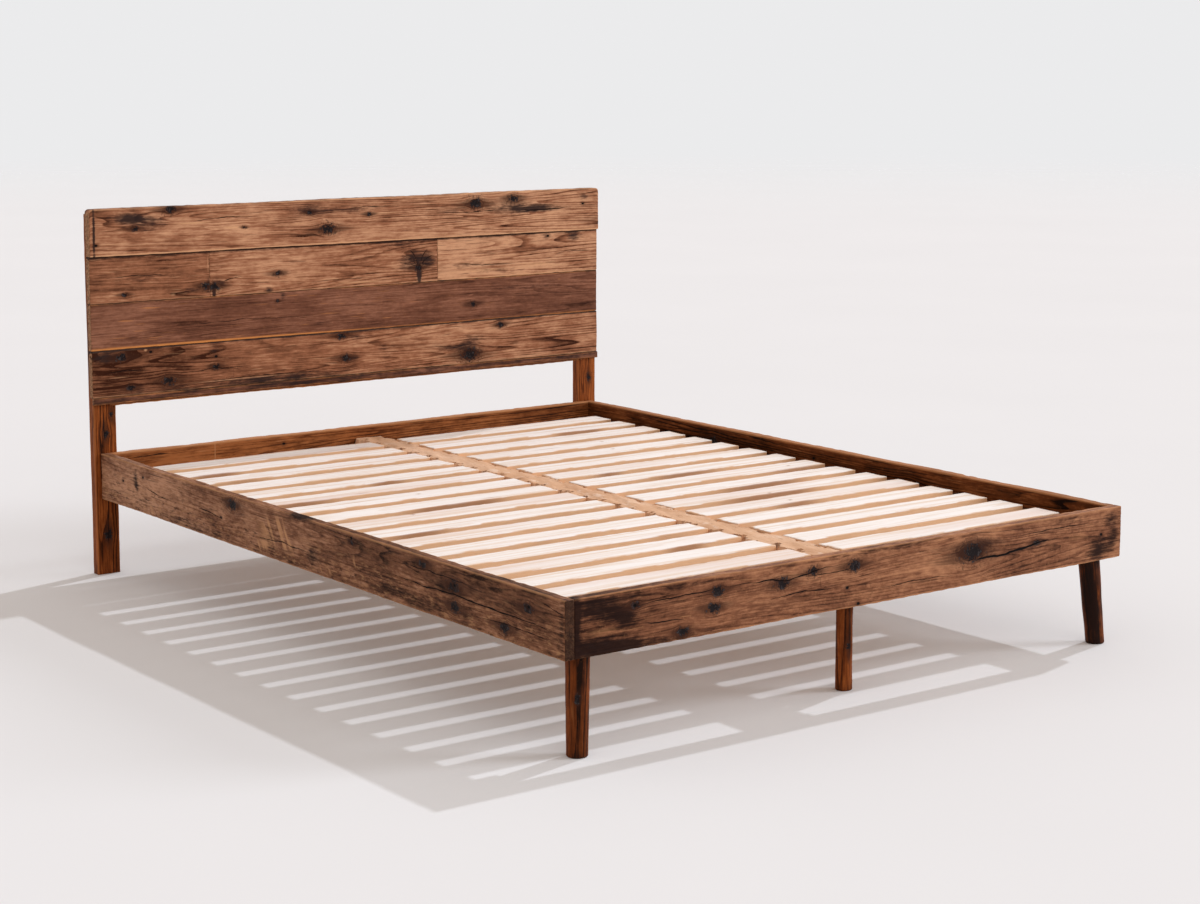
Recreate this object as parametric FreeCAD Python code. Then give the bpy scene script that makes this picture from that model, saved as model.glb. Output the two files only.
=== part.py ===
"""A rustic slatted bed with a planked headboard, as separate joined pieces, in millimetres.

X runs across the bed, with +X to the right as seen from the foot. +Y runs from the foot to the
headboard and +Z is up. The origin lies on the floor under the middle of the whole bed.
"""
import FreeCAD
import Part
import os

Vector = FreeCAD.Vector

# The mattress that the frame is made for, and the room left round it
mattress_width = 1524.0
mattress_length = 2032.0
mattress_side_gap = 24.0
mattress_end_gap = 14.5

# Rails of the bed frame
rail_thickness = 24.0
rail_height = 122.0
rail_floor_clearance = 206.0
rail_edge_radius = 2.0

# Headboard posts
post_width = 64.0
post_depth = 28.0
post_overhang = 17.0
post_top_drop = 13.0
post_edge_radius = 1.5

# Headboard planks, with row 1 on top
headboard_lift = 132.0
headboard_overhang = 3.0
plank_height = 125.0
plank_rows = 4
plank_thickness = 20.0
plank_proud = 6.0
plank_edge_radius = 1.5
top_plank_extra = 8.0
top_plank_corner_radius = 10.0
third_plank_setback = 1.5
second_row_left_length = 351.0
second_row_right_length = 575.0

# Strip, rail and battens that carry the planks
base_strip_height = 18.0
base_strip_thickness = 10.0
lower_rail_drop = 6.0
tenon_length = 18.0
tenon_thickness = 8.0
tenon_shoulder = 3.0
batten_width = 80.0
batten_thickness = 14.0

# Slats in two columns
slat_rows = 16
slat_width = 78.0
slat_thickness = 18.0
slat_drop = 30.0
slat_end_gap = 38.0
slat_middle_gap = 88.0
slat_head_gap = 86.0
slat_foot_gap = 112.0
slat_edge_radius = 1.5

# Ledgers and centre beam under the slats
ledger_width = 60.0
ledger_height = 28.0
beam_width = 140.0
beam_height = 44.0
beam_rib_gap = 2.0
beam_rib_drop = 2.0

# Steel saddles at the beam's ends
hanger_plate = 3.0
hanger_depth = 25.0
hanger_flange = 26.0
hanger_height = 36.0

# Legs and corner blocks
leg_top_radius = 25.5
leg_foot_radius = 22.0
leg_foot_chamfer = 4.0
leg_side_inset = 38.0
leg_foot_inset = 18.5
leg_side_splay = 13.0
leg_foot_splay = 16.0
centre_leg_radius = 18.5
centre_leg_gap = 5.0
corner_block_side = 60.0

# Fasteners
fastener_clearance = 0.1
screw_radius = 2.0
long_screw_radius = 2.5
screw_bite = 13.0
bed_bolt_radius = 4.0
bed_bolt_head_radius = 8.0
bed_bolt_head_height = 6.0
bed_bolt_recess = 2.0
bed_bolt_reach = 70.0
bed_bolt_edge = 32.0
barrel_nut_radius = 7.0
barrel_nut_cover = 4.0
leg_bolt_radius = 4.0
leg_bolt_up = 30.0
leg_bolt_down = 40.0
dowel_radius = 4.0
dowel_half_length = 11.0
block_screw_edge = 13.0
hanger_screw_edge = 9.0
plank_screw_edge = 32.0
batten_screw_edge = 20.0
strip_screw_count = 4
ledger_screw_step = 3

# Places across the bed
inner_half_width = mattress_width / 2 + mattress_side_gap
outer_half_width = inner_half_width + rail_thickness
post_outer = outer_half_width + post_overhang
post_inner = post_outer - post_width
headboard_half_width = post_outer + headboard_overhang
left_joint = -headboard_half_width + second_row_left_length
right_joint = headboard_half_width - second_row_right_length

# Places along the bed
inner_length = mattress_length + 2 * mattress_end_gap
frame_length = inner_length + 2 * rail_thickness
batten_back_reach = plank_thickness - plank_proud + batten_thickness
total_length = frame_length + max(post_depth, batten_back_reach)
foot_face = -total_length / 2
foot_inner = foot_face + rail_thickness
head_inner = foot_inner + inner_length
post_front = foot_face + frame_length
post_back = post_front + post_depth
plank_front = post_front - plank_proud
plank_back = plank_front + plank_thickness

# Places above the floor
rail_bottom = rail_floor_clearance
rail_top = rail_bottom + rail_height
slat_top = rail_top - slat_drop
slat_bottom = slat_top - slat_thickness
ledger_bottom = slat_bottom - ledger_height
beam_bottom = slat_bottom - beam_height
strip_bottom = rail_top + headboard_lift
planks_bottom = strip_bottom + base_strip_height
planks_top = planks_bottom + plank_rows * plank_height
post_top = planks_top - post_top_drop
lower_rail_bottom = strip_bottom - lower_rail_drop

# Slat rows, counted from the head
slat_pitch = (inner_length - slat_head_gap - slat_foot_gap - slat_width) / (slat_rows - 1)
first_slat = head_inner - slat_head_gap - slat_width / 2
slat_centres = [first_slat - row * slat_pitch for row in range(slat_rows)]
slat_outer = inner_half_width - slat_end_gap
slat_inner = slat_middle_gap / 2

AXES = {"x": Vector(1, 0, 0), "y": Vector(0, 1, 0), "z": Vector(0, 0, 1)}
pieces = {}
wood_screws = []


def box(low, high):
    """A plain box between two corners."""
    size = Vector(*high) - Vector(*low)
    return Part.makeBox(size.x, size.y, size.z, Vector(*low))


def edges_along(shape, axis):
    """The straight edges of a box that run along one axis."""
    picked = []
    for edge in shape.Edges:
        run = edge.Vertexes[1].Point - edge.Vertexes[0].Point
        if run.cross(AXES[axis]).Length < run.Length / 2:
            picked.append(edge)
    return picked


def board(low, high, grain, radius):
    """A sawn board whose long edges, along the grain, are eased to a radius."""
    plain = box(low, high)
    return plain.makeFillet(radius, edges_along(plain, grain))


def turned(outline, start, direction):
    """Revolve an outline of (radius, distance) points about an axis that leaves start."""
    points = [Vector(radius, 0, distance) for radius, distance in outline]
    face = Part.Face(Part.makePolygon(points + points[:1]))
    solid = face.revolve(Vector(0, 0, 0), AXES["z"], 360)
    solid.Placement = FreeCAD.Placement(start, FreeCAD.Rotation(AXES["z"], direction))
    return solid


def rod(radius, start, direction, length):
    """A round rod that leaves start along direction."""
    return Part.makeCylinder(radius, length, start, direction)


def cut_holes(name, holes):
    """Open holes in a named piece, solid by solid where it is a group."""
    solids = [solid.cut(holes).Solids[0] for solid in pieces[name].Solids]
    pieces[name] = solids[0] if len(solids) == 1 else Part.makeCompound(solids)


def screw_outline(radius, length, spare):
    """Half section of a countersunk screw, or of its hole when spare is added all round."""
    head = 2 * radius + spare
    shank = radius + spare
    return [(0, 0), (head, 0), (shank, radius), (shank, length - 2 * radius), (0, length + spare)]


def drive_screws(names, starts, direction, radius, length):
    """Sink screws that start at given points through the named pieces."""
    holes = []
    for start in starts:
        wood_screws.append(turned(screw_outline(radius, length, 0), start, direction))
        holes.append(turned(screw_outline(radius, length, fastener_clearance), start, direction))
    for name in names:
        cut_holes(name, holes)


def make_rails():
    """The left rail runs the full length, and the other three are fitted between its neighbours."""
    low, high = rail_bottom, rail_top
    ease = rail_edge_radius
    pieces["left_side_rail"] = board((-outer_half_width, foot_face, low),
                                     (-inner_half_width, post_front, high), "y", ease)
    pieces["right_side_rail"] = board((inner_half_width, foot_inner, low),
                                      (outer_half_width, post_front, high), "y", ease)
    pieces["foot_rail"] = board((-inner_half_width, foot_face, low),
                                (outer_half_width, foot_inner, high), "x", ease)
    pieces["head_rail"] = board((-inner_half_width, head_inner, low),
                                (inner_half_width, post_front, high), "x", ease)


def make_post(name, side):
    """A flat post, rebated in front from the headboard's underside up to seat the planks."""
    x_low, x_high = sorted((side * post_inner, side * post_outer))
    post = board((x_low, post_front, 0), (x_high, post_back, post_top), "z", post_edge_radius)
    rebate = box((x_low, post_front, planks_bottom), (x_high, plank_back, post_top))
    pieces[name] = post.cut(rebate).Solids[0]


def make_lower_rail():
    """A thin rail between the posts with a stub tenon at each end, and its mortises."""
    low = (-post_inner, post_front, lower_rail_bottom)
    high = (post_inner, plank_back, planks_bottom)
    rail = box(low, high)
    middle = (post_front + plank_back) / 2
    tenon_low = lower_rail_bottom + tenon_shoulder
    tenon_high = planks_bottom - tenon_shoulder
    for name, side in (("left_post", -1), ("right_post", 1)):
        ends = sorted((side * post_inner, side * (post_inner + tenon_length)))
        tenon = box((ends[0], middle - tenon_thickness / 2, tenon_low),
                    (ends[1], middle + tenon_thickness / 2, tenon_high))
        rail = rail.fuse(tenon)
        cut_holes(name, [tenon])
    pieces["headboard_lower_rail"] = rail.removeSplitter().Solids[0]


def plank(row, x_low, x_high, extra):
    """A headboard plank of one row, with its face moved forward by extra."""
    z_low = planks_bottom + (plank_rows - row) * plank_height
    return board((x_low, plank_front - extra, z_low),
                 (x_high, plank_back, z_low + plank_height), "x", plank_edge_radius)


def make_top_plank():
    """The thickest plank, with its two upper corners rounded and its front edges eased."""
    z_low = planks_top - plank_height
    plain = box((-headboard_half_width, plank_front - top_plank_extra, z_low),
                (headboard_half_width, plank_back, planks_top))
    upper = [edge for edge in edges_along(plain, "y") if edge.CenterOfMass.z > z_low + plank_height / 2]
    rounded = plain.makeFillet(top_plank_corner_radius, upper)
    front = [edge for edge in rounded.Edges if edge.BoundBox.YMax < plank_front - top_plank_extra / 2]
    return rounded.makeFillet(plank_edge_radius, front)


def make_planks():
    """Four rows of planks: the second is three boards, the others are one each."""
    half = headboard_half_width
    pieces["headboard_top_plank"] = make_top_plank()
    pieces["headboard_plank_2_left"] = plank(2, -half, left_joint, 0)
    pieces["headboard_plank_2_middle"] = plank(2, left_joint, right_joint, 0)
    pieces["headboard_plank_2_right"] = plank(2, right_joint, half, 0)
    pieces["headboard_plank_3"] = plank(3, -half, half, -third_plank_setback)
    pieces["headboard_plank_4"] = plank(4, -half, half, 0)
    pieces["headboard_base_strip"] = board((-half, post_front - base_strip_thickness, strip_bottom),
                                           (half, post_front, planks_bottom), "x", plank_edge_radius)


def make_battens():
    """Two battens behind the planks, one over each joint of the second row."""
    battens = []
    for joint in (left_joint, right_joint):
        battens.append(board((joint - batten_width / 2, plank_back, lower_rail_bottom),
                             (joint + batten_width / 2, plank_back + batten_thickness, post_top),
                             "z", plank_edge_radius))
    pieces["headboard_battens"] = Part.makeCompound(battens)


def fasten_headboard():
    """Screws from behind: through the posts and battens into every plank, strip and rail."""
    back = Vector(0, -1, 0)
    post_x = (post_inner + post_outer) / 2
    batten_back = plank_back + batten_thickness
    row_planks = {
        1: ["headboard_top_plank"],
        2: ["headboard_plank_2_left", "headboard_plank_2_middle", "headboard_plank_2_right"],
        3: ["headboard_plank_3"],
        4: ["headboard_plank_4"],
    }
    for row, names in row_planks.items():
        z_low = planks_bottom + (plank_rows - row) * plank_height
        heights = (z_low + plank_screw_edge, z_low + plank_height - plank_screw_edge)
        starts = [Vector(side * post_x, post_back, z) for side in (-1, 1) for z in heights]
        reach = post_back - plank_back + screw_bite
        drive_screws(["left_post", "right_post"] + names, starts, back, screw_radius, reach)
        starts = [Vector(joint + side * batten_screw_edge, batten_back, z)
                  for joint in (left_joint, right_joint) for side in (-1, 1) for z in heights]
        reach = batten_thickness + screw_bite
        drive_screws(["headboard_battens"] + names, starts, back, screw_radius, reach)
    rail_z = (lower_rail_bottom + planks_bottom) / 2
    starts = [Vector(joint, batten_back, rail_z) for joint in (left_joint, right_joint)]
    reach = batten_thickness + plank_back - post_front - 2 * screw_radius
    drive_screws(["headboard_battens", "headboard_lower_rail"], starts, back, screw_radius, reach)
    strip_z = (strip_bottom + planks_bottom) / 2
    spacing = 2 * post_inner / (strip_screw_count + 1)
    starts = [Vector(-post_inner + (index + 1) * spacing, plank_back, strip_z)
              for index in range(strip_screw_count)]
    reach = plank_back - post_front + base_strip_thickness - 2 * screw_radius
    drive_screws(["headboard_lower_rail", "headboard_base_strip"], starts, back, screw_radius, reach)


def make_slat(name, side, centre):
    """One slat of a column, from near the side rail to the middle gap."""
    x_low, x_high = sorted((side * slat_inner, side * slat_outer))
    pieces[name] = board((x_low, centre - slat_width / 2, slat_bottom),
                         (x_high, centre + slat_width / 2, slat_top), "x", slat_edge_radius)


def make_slat_bed():
    """Two ledgers, the slats, and the centre beam whose middle rises between the slats' ends."""
    pieces["left_ledger"] = box((-inner_half_width, foot_inner, ledger_bottom),
                                (-inner_half_width + ledger_width, head_inner, slat_bottom))
    pieces["right_ledger"] = box((inner_half_width - ledger_width, foot_inner, ledger_bottom),
                                 (inner_half_width, head_inner, slat_bottom))
    beam = box((-beam_width / 2, foot_inner + hanger_plate, beam_bottom),
               (beam_width / 2, head_inner - hanger_plate, slat_bottom))
    rib_half = slat_inner - beam_rib_gap
    rib = box((-rib_half, foot_inner + hanger_plate, slat_bottom),
              (rib_half, head_inner - hanger_plate, slat_top - beam_rib_drop))
    pieces["centre_beam"] = beam.fuse(rib).removeSplitter()
    ledger_dowel = (inner_half_width - ledger_width + slat_outer) / 2
    beam_dowel = (slat_inner + beam_width / 2) / 2
    bottom = slat_bottom - dowel_half_length
    length = 2 * dowel_half_length
    dowels = []
    holes = {"left_ledger": [], "right_ledger": [], "centre_beam": []}
    for word, side in (("left", -1), ("right", 1)):
        for row, centre in enumerate(slat_centres):
            name = f"slat_{word}_{row + 1:02d}"
            make_slat(name, side, centre)
            slat_holes = []
            for carrier, offset in ((f"{word}_ledger", ledger_dowel), ("centre_beam", beam_dowel)):
                foot = Vector(side * offset, centre, bottom)
                hole = rod(dowel_radius + fastener_clearance, foot, AXES["z"], length)
                dowels.append(rod(dowel_radius, foot, AXES["z"], length))
                slat_holes.append(hole)
                holes[carrier].append(hole)
            cut_holes(name, slat_holes)
    for carrier, carrier_holes in holes.items():
        cut_holes(carrier, carrier_holes)
    pieces["slat_dowels"] = Part.makeCompound(dowels)


def fasten_ledgers():
    """Long screws through each ledger into its side rail, half way between two slats."""
    places = [centre - slat_pitch / 2 for centre in slat_centres[:-1:ledger_screw_step]]
    height = (ledger_bottom + slat_bottom - dowel_half_length) / 2
    for word, side in (("left", -1), ("right", 1)):
        face = side * (inner_half_width - ledger_width)
        starts = [Vector(face, place, height) for place in places]
        drive_screws([f"{word}_ledger", f"{word}_side_rail"], starts, Vector(side, 0, 0),
                     long_screw_radius, ledger_width + screw_bite)


def make_hanger(rail_face, side):
    """A saddle: a plate on the rail's face with a shallow tray that carries the beam's end."""
    half = beam_width / 2 + hanger_plate
    seat = beam_bottom - hanger_plate
    back = sorted((rail_face, rail_face + side * hanger_plate))
    tray = sorted((rail_face, rail_face + side * (hanger_plate + hanger_depth)))
    plate = box((-half - hanger_flange, back[0], seat),
                (half + hanger_flange, back[1], seat + hanger_height))
    cradle = box((-half, tray[0], seat), (half, tray[1], seat + hanger_height))
    room = box((-beam_width / 2, foot_inner + hanger_plate, beam_bottom),
               (beam_width / 2, head_inner - hanger_plate, slat_bottom + hanger_height))
    return plate.fuse(cradle.cut(room)).removeSplitter().Solids[0]


def make_hangers():
    """The two saddles and the screws through their flanges."""
    ends = (("foot_rail", foot_inner, 1), ("head_rail", head_inner, -1))
    pieces["beam_hangers"] = Part.makeCompound([make_hanger(face, side) for rail, face, side in ends])
    flange_x = beam_width / 2 + hanger_plate + hanger_flange / 2
    seat = beam_bottom - hanger_plate
    heights = (seat + hanger_screw_edge, seat + hanger_height - hanger_screw_edge)
    for rail, face, side in ends:
        starts = [Vector(x, face + side * hanger_plate, z) for x in (-flange_x, flange_x) for z in heights]
        drive_screws(["beam_hangers", rail], starts, Vector(0, -side, 0), screw_radius,
                     hanger_plate + screw_bite)


def leg_solid(foot, top, foot_radius, top_radius):
    """A round leg as a ruled loft from a chamfered foot circle to its top circle."""
    along = (top - foot) * (leg_foot_chamfer / (top.z - foot.z))
    circles = ((foot, foot_radius - leg_foot_chamfer), (foot + along, foot_radius), (top, top_radius))
    wires = [Part.Wire(Part.makeCircle(radius, centre)) for centre, radius in circles]
    return Part.makeLoft(wires, True, True)


def make_legs():
    """Two splayed legs under blocks in the foot corners and a straight one under the beam."""
    blocks = []
    bolts = []
    for word, side in (("left", -1), ("right", 1)):
        name = f"front_{word}_leg"
        top_x = side * (inner_half_width - leg_side_inset)
        top = Vector(top_x, foot_inner + leg_foot_inset, rail_bottom)
        foot = Vector(top.x + side * leg_side_splay, top.y - leg_foot_splay, 0)
        pieces[name] = leg_solid(foot, top, leg_foot_radius, leg_top_radius)
        ends = sorted((side * inner_half_width, side * (inner_half_width - corner_block_side)))
        block = box((ends[0], foot_inner, rail_bottom),
                    (ends[1], foot_inner + corner_block_side, ledger_bottom))
        axis = (top - foot).normalize()
        start = top - axis * leg_bolt_down
        length = leg_bolt_down + leg_bolt_up
        bolts.append(rod(leg_bolt_radius, start, axis, length))
        hole = rod(leg_bolt_radius + fastener_clearance, start, axis, length)
        cut_holes(name, [hole])
        blocks.append(block.cut(hole).Solids[0])
    pieces["corner_blocks"] = Part.makeCompound(blocks)
    place = foot_inner + hanger_plate + hanger_depth + centre_leg_gap + centre_leg_radius
    top = Vector(0, place, beam_bottom)
    pieces["centre_leg"] = leg_solid(Vector(0, place, 0), top, centre_leg_radius, centre_leg_radius)
    start = top - AXES["z"] * leg_bolt_down
    length = leg_bolt_down + leg_bolt_up
    bolts.append(rod(leg_bolt_radius, start, AXES["z"], length))
    hole = rod(leg_bolt_radius + fastener_clearance, start, AXES["z"], length)
    cut_holes("centre_leg", [hole])
    cut_holes("centre_beam", [hole])
    pieces["leg_bolts"] = Part.makeCompound(bolts)


def fasten_corner_blocks():
    """One long screw from each block into the side rail and one into the foot rail, at two heights."""
    length = corner_block_side + screw_bite
    block_back = foot_inner + corner_block_side
    for word, side in (("left", -1), ("right", 1)):
        into_side = Vector(side * (inner_half_width - corner_block_side), block_back - block_screw_edge,
                           rail_bottom + block_screw_edge)
        into_foot = Vector(side * (inner_half_width - block_screw_edge), block_back,
                           ledger_bottom - block_screw_edge)
        drive_screws(["corner_blocks", f"{word}_side_rail"], [into_side], Vector(side, 0, 0),
                     long_screw_radius, length)
        drive_screws(["corner_blocks", "foot_rail"], [into_foot], Vector(0, -1, 0),
                     long_screw_radius, length)


def fasten_posts():
    """Bed bolts into barrel nuts in the side rails, and screws into the head rail's ends."""
    back = Vector(0, -1, 0)
    bolt_x = (inner_half_width + outer_half_width) / 2
    screw_x = (post_inner + inner_half_width) / 2
    heights = (rail_bottom + bed_bolt_edge, rail_top - bed_bolt_edge)
    seat = bed_bolt_recess + bed_bolt_head_height
    length = post_depth + bed_bolt_reach
    nut_y = post_front - bed_bolt_reach + 2 * barrel_nut_radius
    nut_length = rail_thickness - 2 * barrel_nut_cover
    spare = fastener_clearance
    head_bore = bed_bolt_head_radius + spare
    shank_bore = bed_bolt_radius + spare
    bolts = []
    nuts = []
    for word, side in (("left", -1), ("right", 1)):
        holes = []
        for z in heights:
            start = Vector(side * bolt_x, post_back, z)
            bolts.append(turned([(0, bed_bolt_recess), (bed_bolt_head_radius, bed_bolt_recess),
                                 (bed_bolt_head_radius, seat), (bed_bolt_radius, seat),
                                 (bed_bolt_radius, length), (0, length)], start, back))
            hole = turned([(0, 0), (head_bore, 0), (head_bore, seat), (shank_bore, seat),
                           (shank_bore, length + spare), (0, length + spare)], start, back)
            nut_end = Vector(side * (inner_half_width + barrel_nut_cover), nut_y, z)
            outward = Vector(side, 0, 0)
            nuts.append(rod(barrel_nut_radius, nut_end, outward, nut_length).cut(hole).Solids[0])
            mouth = Vector(side * inner_half_width, nut_y, z)
            holes.append(hole)
            holes.append(rod(barrel_nut_radius + spare, mouth, outward, barrel_nut_cover + nut_length))
        cut_holes(f"{word}_post", holes[::2])
        cut_holes(f"{word}_side_rail", holes)
        starts = [Vector(side * screw_x, post_back, z) for z in heights]
        drive_screws([f"{word}_post", "head_rail"], starts, back, long_screw_radius, post_depth + screw_bite)
    pieces["bed_bolts"] = Part.makeCompound(bolts)
    pieces["barrel_nuts"] = Part.makeCompound(nuts)


make_rails()
make_post("left_post", -1)
make_post("right_post", 1)
make_lower_rail()
make_planks()
make_battens()
fasten_headboard()
make_slat_bed()
fasten_ledgers()
make_hangers()
make_legs()
fasten_corner_blocks()
fasten_posts()
pieces["wood_screws"] = Part.makeCompound(wood_screws)

os.makedirs("parts", exist_ok=True)
for name, shape in pieces.items():
    shape.exportStep(f"parts/{name}.step")
print(f"{len(pieces)} pieces, {sum(len(shape.Solids) for shape in pieces.values())} solids")
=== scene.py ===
# %% [markdown]
# # A rustic slatted bed
# The bed arrives as a packed frame of plain solids: every board, leg, slat and screw is at its real
# size and place. This lesson dresses them. Each board that shows is built again as a fine surface with
# knots, splits, nail holes and worn edges, and each finish is a small tree of shader arithmetic.

# %% Load the frame
import math

import bpy
import numpy as np
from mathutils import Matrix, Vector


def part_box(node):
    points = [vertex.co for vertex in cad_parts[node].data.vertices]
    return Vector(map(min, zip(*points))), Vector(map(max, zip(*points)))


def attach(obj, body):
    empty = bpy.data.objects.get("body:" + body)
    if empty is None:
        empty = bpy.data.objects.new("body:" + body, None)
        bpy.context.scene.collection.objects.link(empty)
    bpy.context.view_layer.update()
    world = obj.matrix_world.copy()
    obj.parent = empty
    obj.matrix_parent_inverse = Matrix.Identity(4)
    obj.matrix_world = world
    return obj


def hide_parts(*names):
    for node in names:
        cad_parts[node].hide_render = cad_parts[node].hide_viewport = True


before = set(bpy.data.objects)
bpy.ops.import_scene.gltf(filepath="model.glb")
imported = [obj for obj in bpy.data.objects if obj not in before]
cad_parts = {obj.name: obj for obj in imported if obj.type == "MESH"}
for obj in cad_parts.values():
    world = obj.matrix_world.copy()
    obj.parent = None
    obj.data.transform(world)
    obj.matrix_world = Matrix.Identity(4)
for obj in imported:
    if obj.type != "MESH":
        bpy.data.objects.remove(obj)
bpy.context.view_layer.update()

# %% [markdown]
# ## Where a board lies
# A board is easiest to think of in its own directions: u along the grain, v across the face that
# shows, and w from that face into the wood. They could be typed in for each board, but the frame already
# knows every box, so a grain direction and a facing direction are enough to find the rest.

# %% The directions of a board
AXES = "xyz"


def board_directions(node, grain, face):
    """Corner, unit vectors (u, v, w) and sizes of a node's box, as arrays in metres.

    grain and face are signed axes such as "+x" and "-y". The corner is where u, v and w are all zero:
    w starts on the shown face and runs against its outward direction, and v runs up its own axis.
    """
    low, high = (np.array(corner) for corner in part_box(node))
    u_axis, w_axis = AXES.index(grain[1]), AXES.index(face[1])
    v_axis = 3 - u_axis - w_axis
    signs = {u_axis: 1 if grain[0] == "+" else -1, v_axis: 1, w_axis: -1 if face[0] == "+" else 1}
    corner = np.array([low[axis] if signs[axis] > 0 else high[axis] for axis in range(3)])
    directions = np.zeros((3, 3))
    for row, axis in enumerate((u_axis, v_axis, w_axis)):
        directions[row, axis] = signs[axis]
    return corner, directions, (high - low)[[u_axis, v_axis, w_axis]]


print("a slat's length, width and thickness:", board_directions("slat_left_01", "+x", "+z")[2].round(4))

# %% [markdown]
# ## From arrays to a piece
# All new pieces are tubes of rings: a closed outline carried along a path, with a pole at each end.
# They could be made by hand with extrusions, but whole arrays keep every vertex under control and let
# each one carry facts, such as its distance to a knot, that the finish reads later as attributes.

# %% Rings into a mesh
SHARP_ANGLE = math.radians(50)


def ring_faces(rings, around, turn_over):
    """Quads between neighbouring rings, and a fan from each end ring to its pole.

    Vertices are numbered ring by ring, and the two poles come last.
    """
    ring, spoke = np.meshgrid(np.arange(rings - 1), np.arange(around), indexing="ij")
    here, there = ring * around, (ring + 1) * around
    beside = (spoke + 1) % around
    quads = np.stack([here + spoke, here + beside, there + beside, there + spoke], -1).reshape(-1, 4)
    edge = np.arange(around)
    beyond = (edge + 1) % around
    last = (rings - 1) * around
    pole = rings * around
    first_fan = np.stack([beyond, edge, np.full(around, pole)], -1)
    last_fan = np.stack([last + edge, last + beyond, np.full(around, pole + 1)], -1)
    fans = np.concatenate([first_fan, last_fan])
    if turn_over:
        quads, fans = quads[:, ::-1], fans[:, ::-1]
    return quads.tolist() + fans.tolist()


def vertex_rows(*columns):
    """Three grids of ring values as one row per vertex, with each pole like a point of its end ring."""
    rows = np.stack(np.broadcast_arrays(*columns), -1).reshape(-1, 3)
    return np.concatenate([rows, rows[:1], rows[-1:]])


def add_piece(name, vertices, faces, fields, finish, node):
    """A smooth mesh in the place of a node, with its finish and one vector attribute for each field."""
    mesh = bpy.data.meshes.new(name)
    mesh.from_pydata(vertices.tolist(), [], faces)
    for label, columns in fields.items():
        attribute = mesh.attributes.new(label, "FLOAT_VECTOR", "POINT")
        attribute.data.foreach_set("vector", vertex_rows(*columns).astype(np.float32).ravel())
    mesh.shade_smooth()
    mesh.set_sharp_from_angle(angle=SHARP_ANGLE)
    mesh.materials.append(finish)
    piece = bpy.data.objects.new(name, mesh)
    bpy.context.scene.collection.objects.link(piece)
    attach(piece, "root")
    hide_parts(node)
    return piece


print("two rings of four points have", len(ring_faces(2, 4, False)), "faces")

# %% [markdown]
# ## Unevenness
# Old boards are never flat. A displacement by noise could roughen them, but a sum of sine waves with
# seeded directions is the same on every run, and costs one array expression per wave. Dents and spots
# are single soft bells.

# %% Seeded waves and bells
def waves(u, v, seed, length_u, length_v, count=9):
    """Smooth roughness of about unit size: the mean of sines whose lengths vary about the given ones."""
    draw = np.random.default_rng(seed)
    total = np.zeros(np.broadcast(u, v).shape)
    for _ in range(count):
        stretch = draw.uniform(0.55, 1.7, 2)
        turn = draw.choice([-1.0, 1.0])
        phase = draw.uniform(0, 2 * np.pi)
        total += np.sin(2 * np.pi * (u * stretch[0] / length_u + turn * v * stretch[1] / length_v) + phase)
    return total / math.sqrt(count / 2)


def bell(x):
    """1 at zero, and falling off to both sides as the exponential of minus x squared."""
    return np.exp(-(x**2))


print("spread of the waves:", waves(np.linspace(0, 1, 500), 0.0, 1, 0.1, 1.0).std().round(2))

# %% [markdown]
# ## What a board has lived through
# The marks of a board are short lists in millimetres on its face: knots, nail holes, splits, stains.
# They could be painted on an image, but here they become fields over the surface. A knot bends the
# grain round it as a stone bends a stream, and a split is an uneven line that narrows to its ends.

# %% Fields of knots, splits and stains
MM = 0.001
KNOT_STRETCH = 1.5
SMEAR_STRETCH = 4.0
KNOT_PULL = 1.6
KNOT_REACH = 7.0
NAIL_RADIUS = 3.5
FAR = 6.0


def knot_fields(u, v, knots):
    """Distance to the nearest knot in knot radii, the same for its smear, and v bent round every knot.

    Both distances are those of ovals drawn out along the grain, the smear's the longer one. Outside a
    knot the bent v is that of a stream line round a cylinder: the offset from the knot's centre is
    shortened by KNOT_PULL times radius squared over distance squared, and that fades with distance.
    """
    nearest = np.full(u.shape, FAR)
    smear = np.full(u.shape, FAR)
    bent = v.copy()
    for knot_u, knot_v, radius in knots:
        along, across = u - knot_u, v - knot_v
        square = (along / KNOT_STRETCH) ** 2 + across**2
        nearest = np.minimum(nearest, np.sqrt(square) / radius)
        smear = np.minimum(smear, np.hypot(along / SMEAR_STRETCH, across) / radius)
        pull = np.minimum(1.0, KNOT_PULL * radius**2 / np.maximum(square, 1e-3))
        bent -= across * pull * np.exp(-square / (KNOT_REACH * radius) ** 2)
    return nearest, smear, bent


def split_fields(u, v, splits, seed):
    """Offset from the nearest split in half widths, and how open it is at that u.

    A split is (half width, [(u, v), ...]). Its line runs through the points with a small jitter, and
    its opening rises from 0 at each end to 1 within a third of its length, with uneven narrows. Where
    splits lie side by side, a point belongs to the one that is open most, less a fifth of its offset.
    """
    offset = np.full(u.shape, FAR)
    opening = np.zeros(u.shape)
    best = np.full(u.shape, -FAR)
    for number, (half_width, points) in enumerate(splits):
        path_u, path_v = np.array(points).T
        jitter = 0.6 * waves(u, 0 * u, seed + number, 110, 1) + 0.2 * waves(u, 0 * u, seed, 25, 1)
        line = np.interp(u, path_u, path_v) + jitter
        ramp = np.minimum(u - path_u[0], path_u[-1] - u) / ((path_u[-1] - path_u[0]) / 3)
        uneven = 0.85 + 0.15 * waves(u, 0 * u, seed + 7 + number, 60, 1)
        open_here = np.clip(ramp, 0, 1) ** 0.6 * np.clip(uneven, 0.3, 1.2)
        aside = np.clip((v - line) / half_width, -FAR, FAR)
        score = np.where(open_here > 0, open_here - 0.2 * np.abs(aside), -FAR)
        offset = np.where(score > best, aside, offset)
        opening = np.where(score > best, open_here, opening)
        best = np.maximum(best, score)
    return offset, opening


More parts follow.
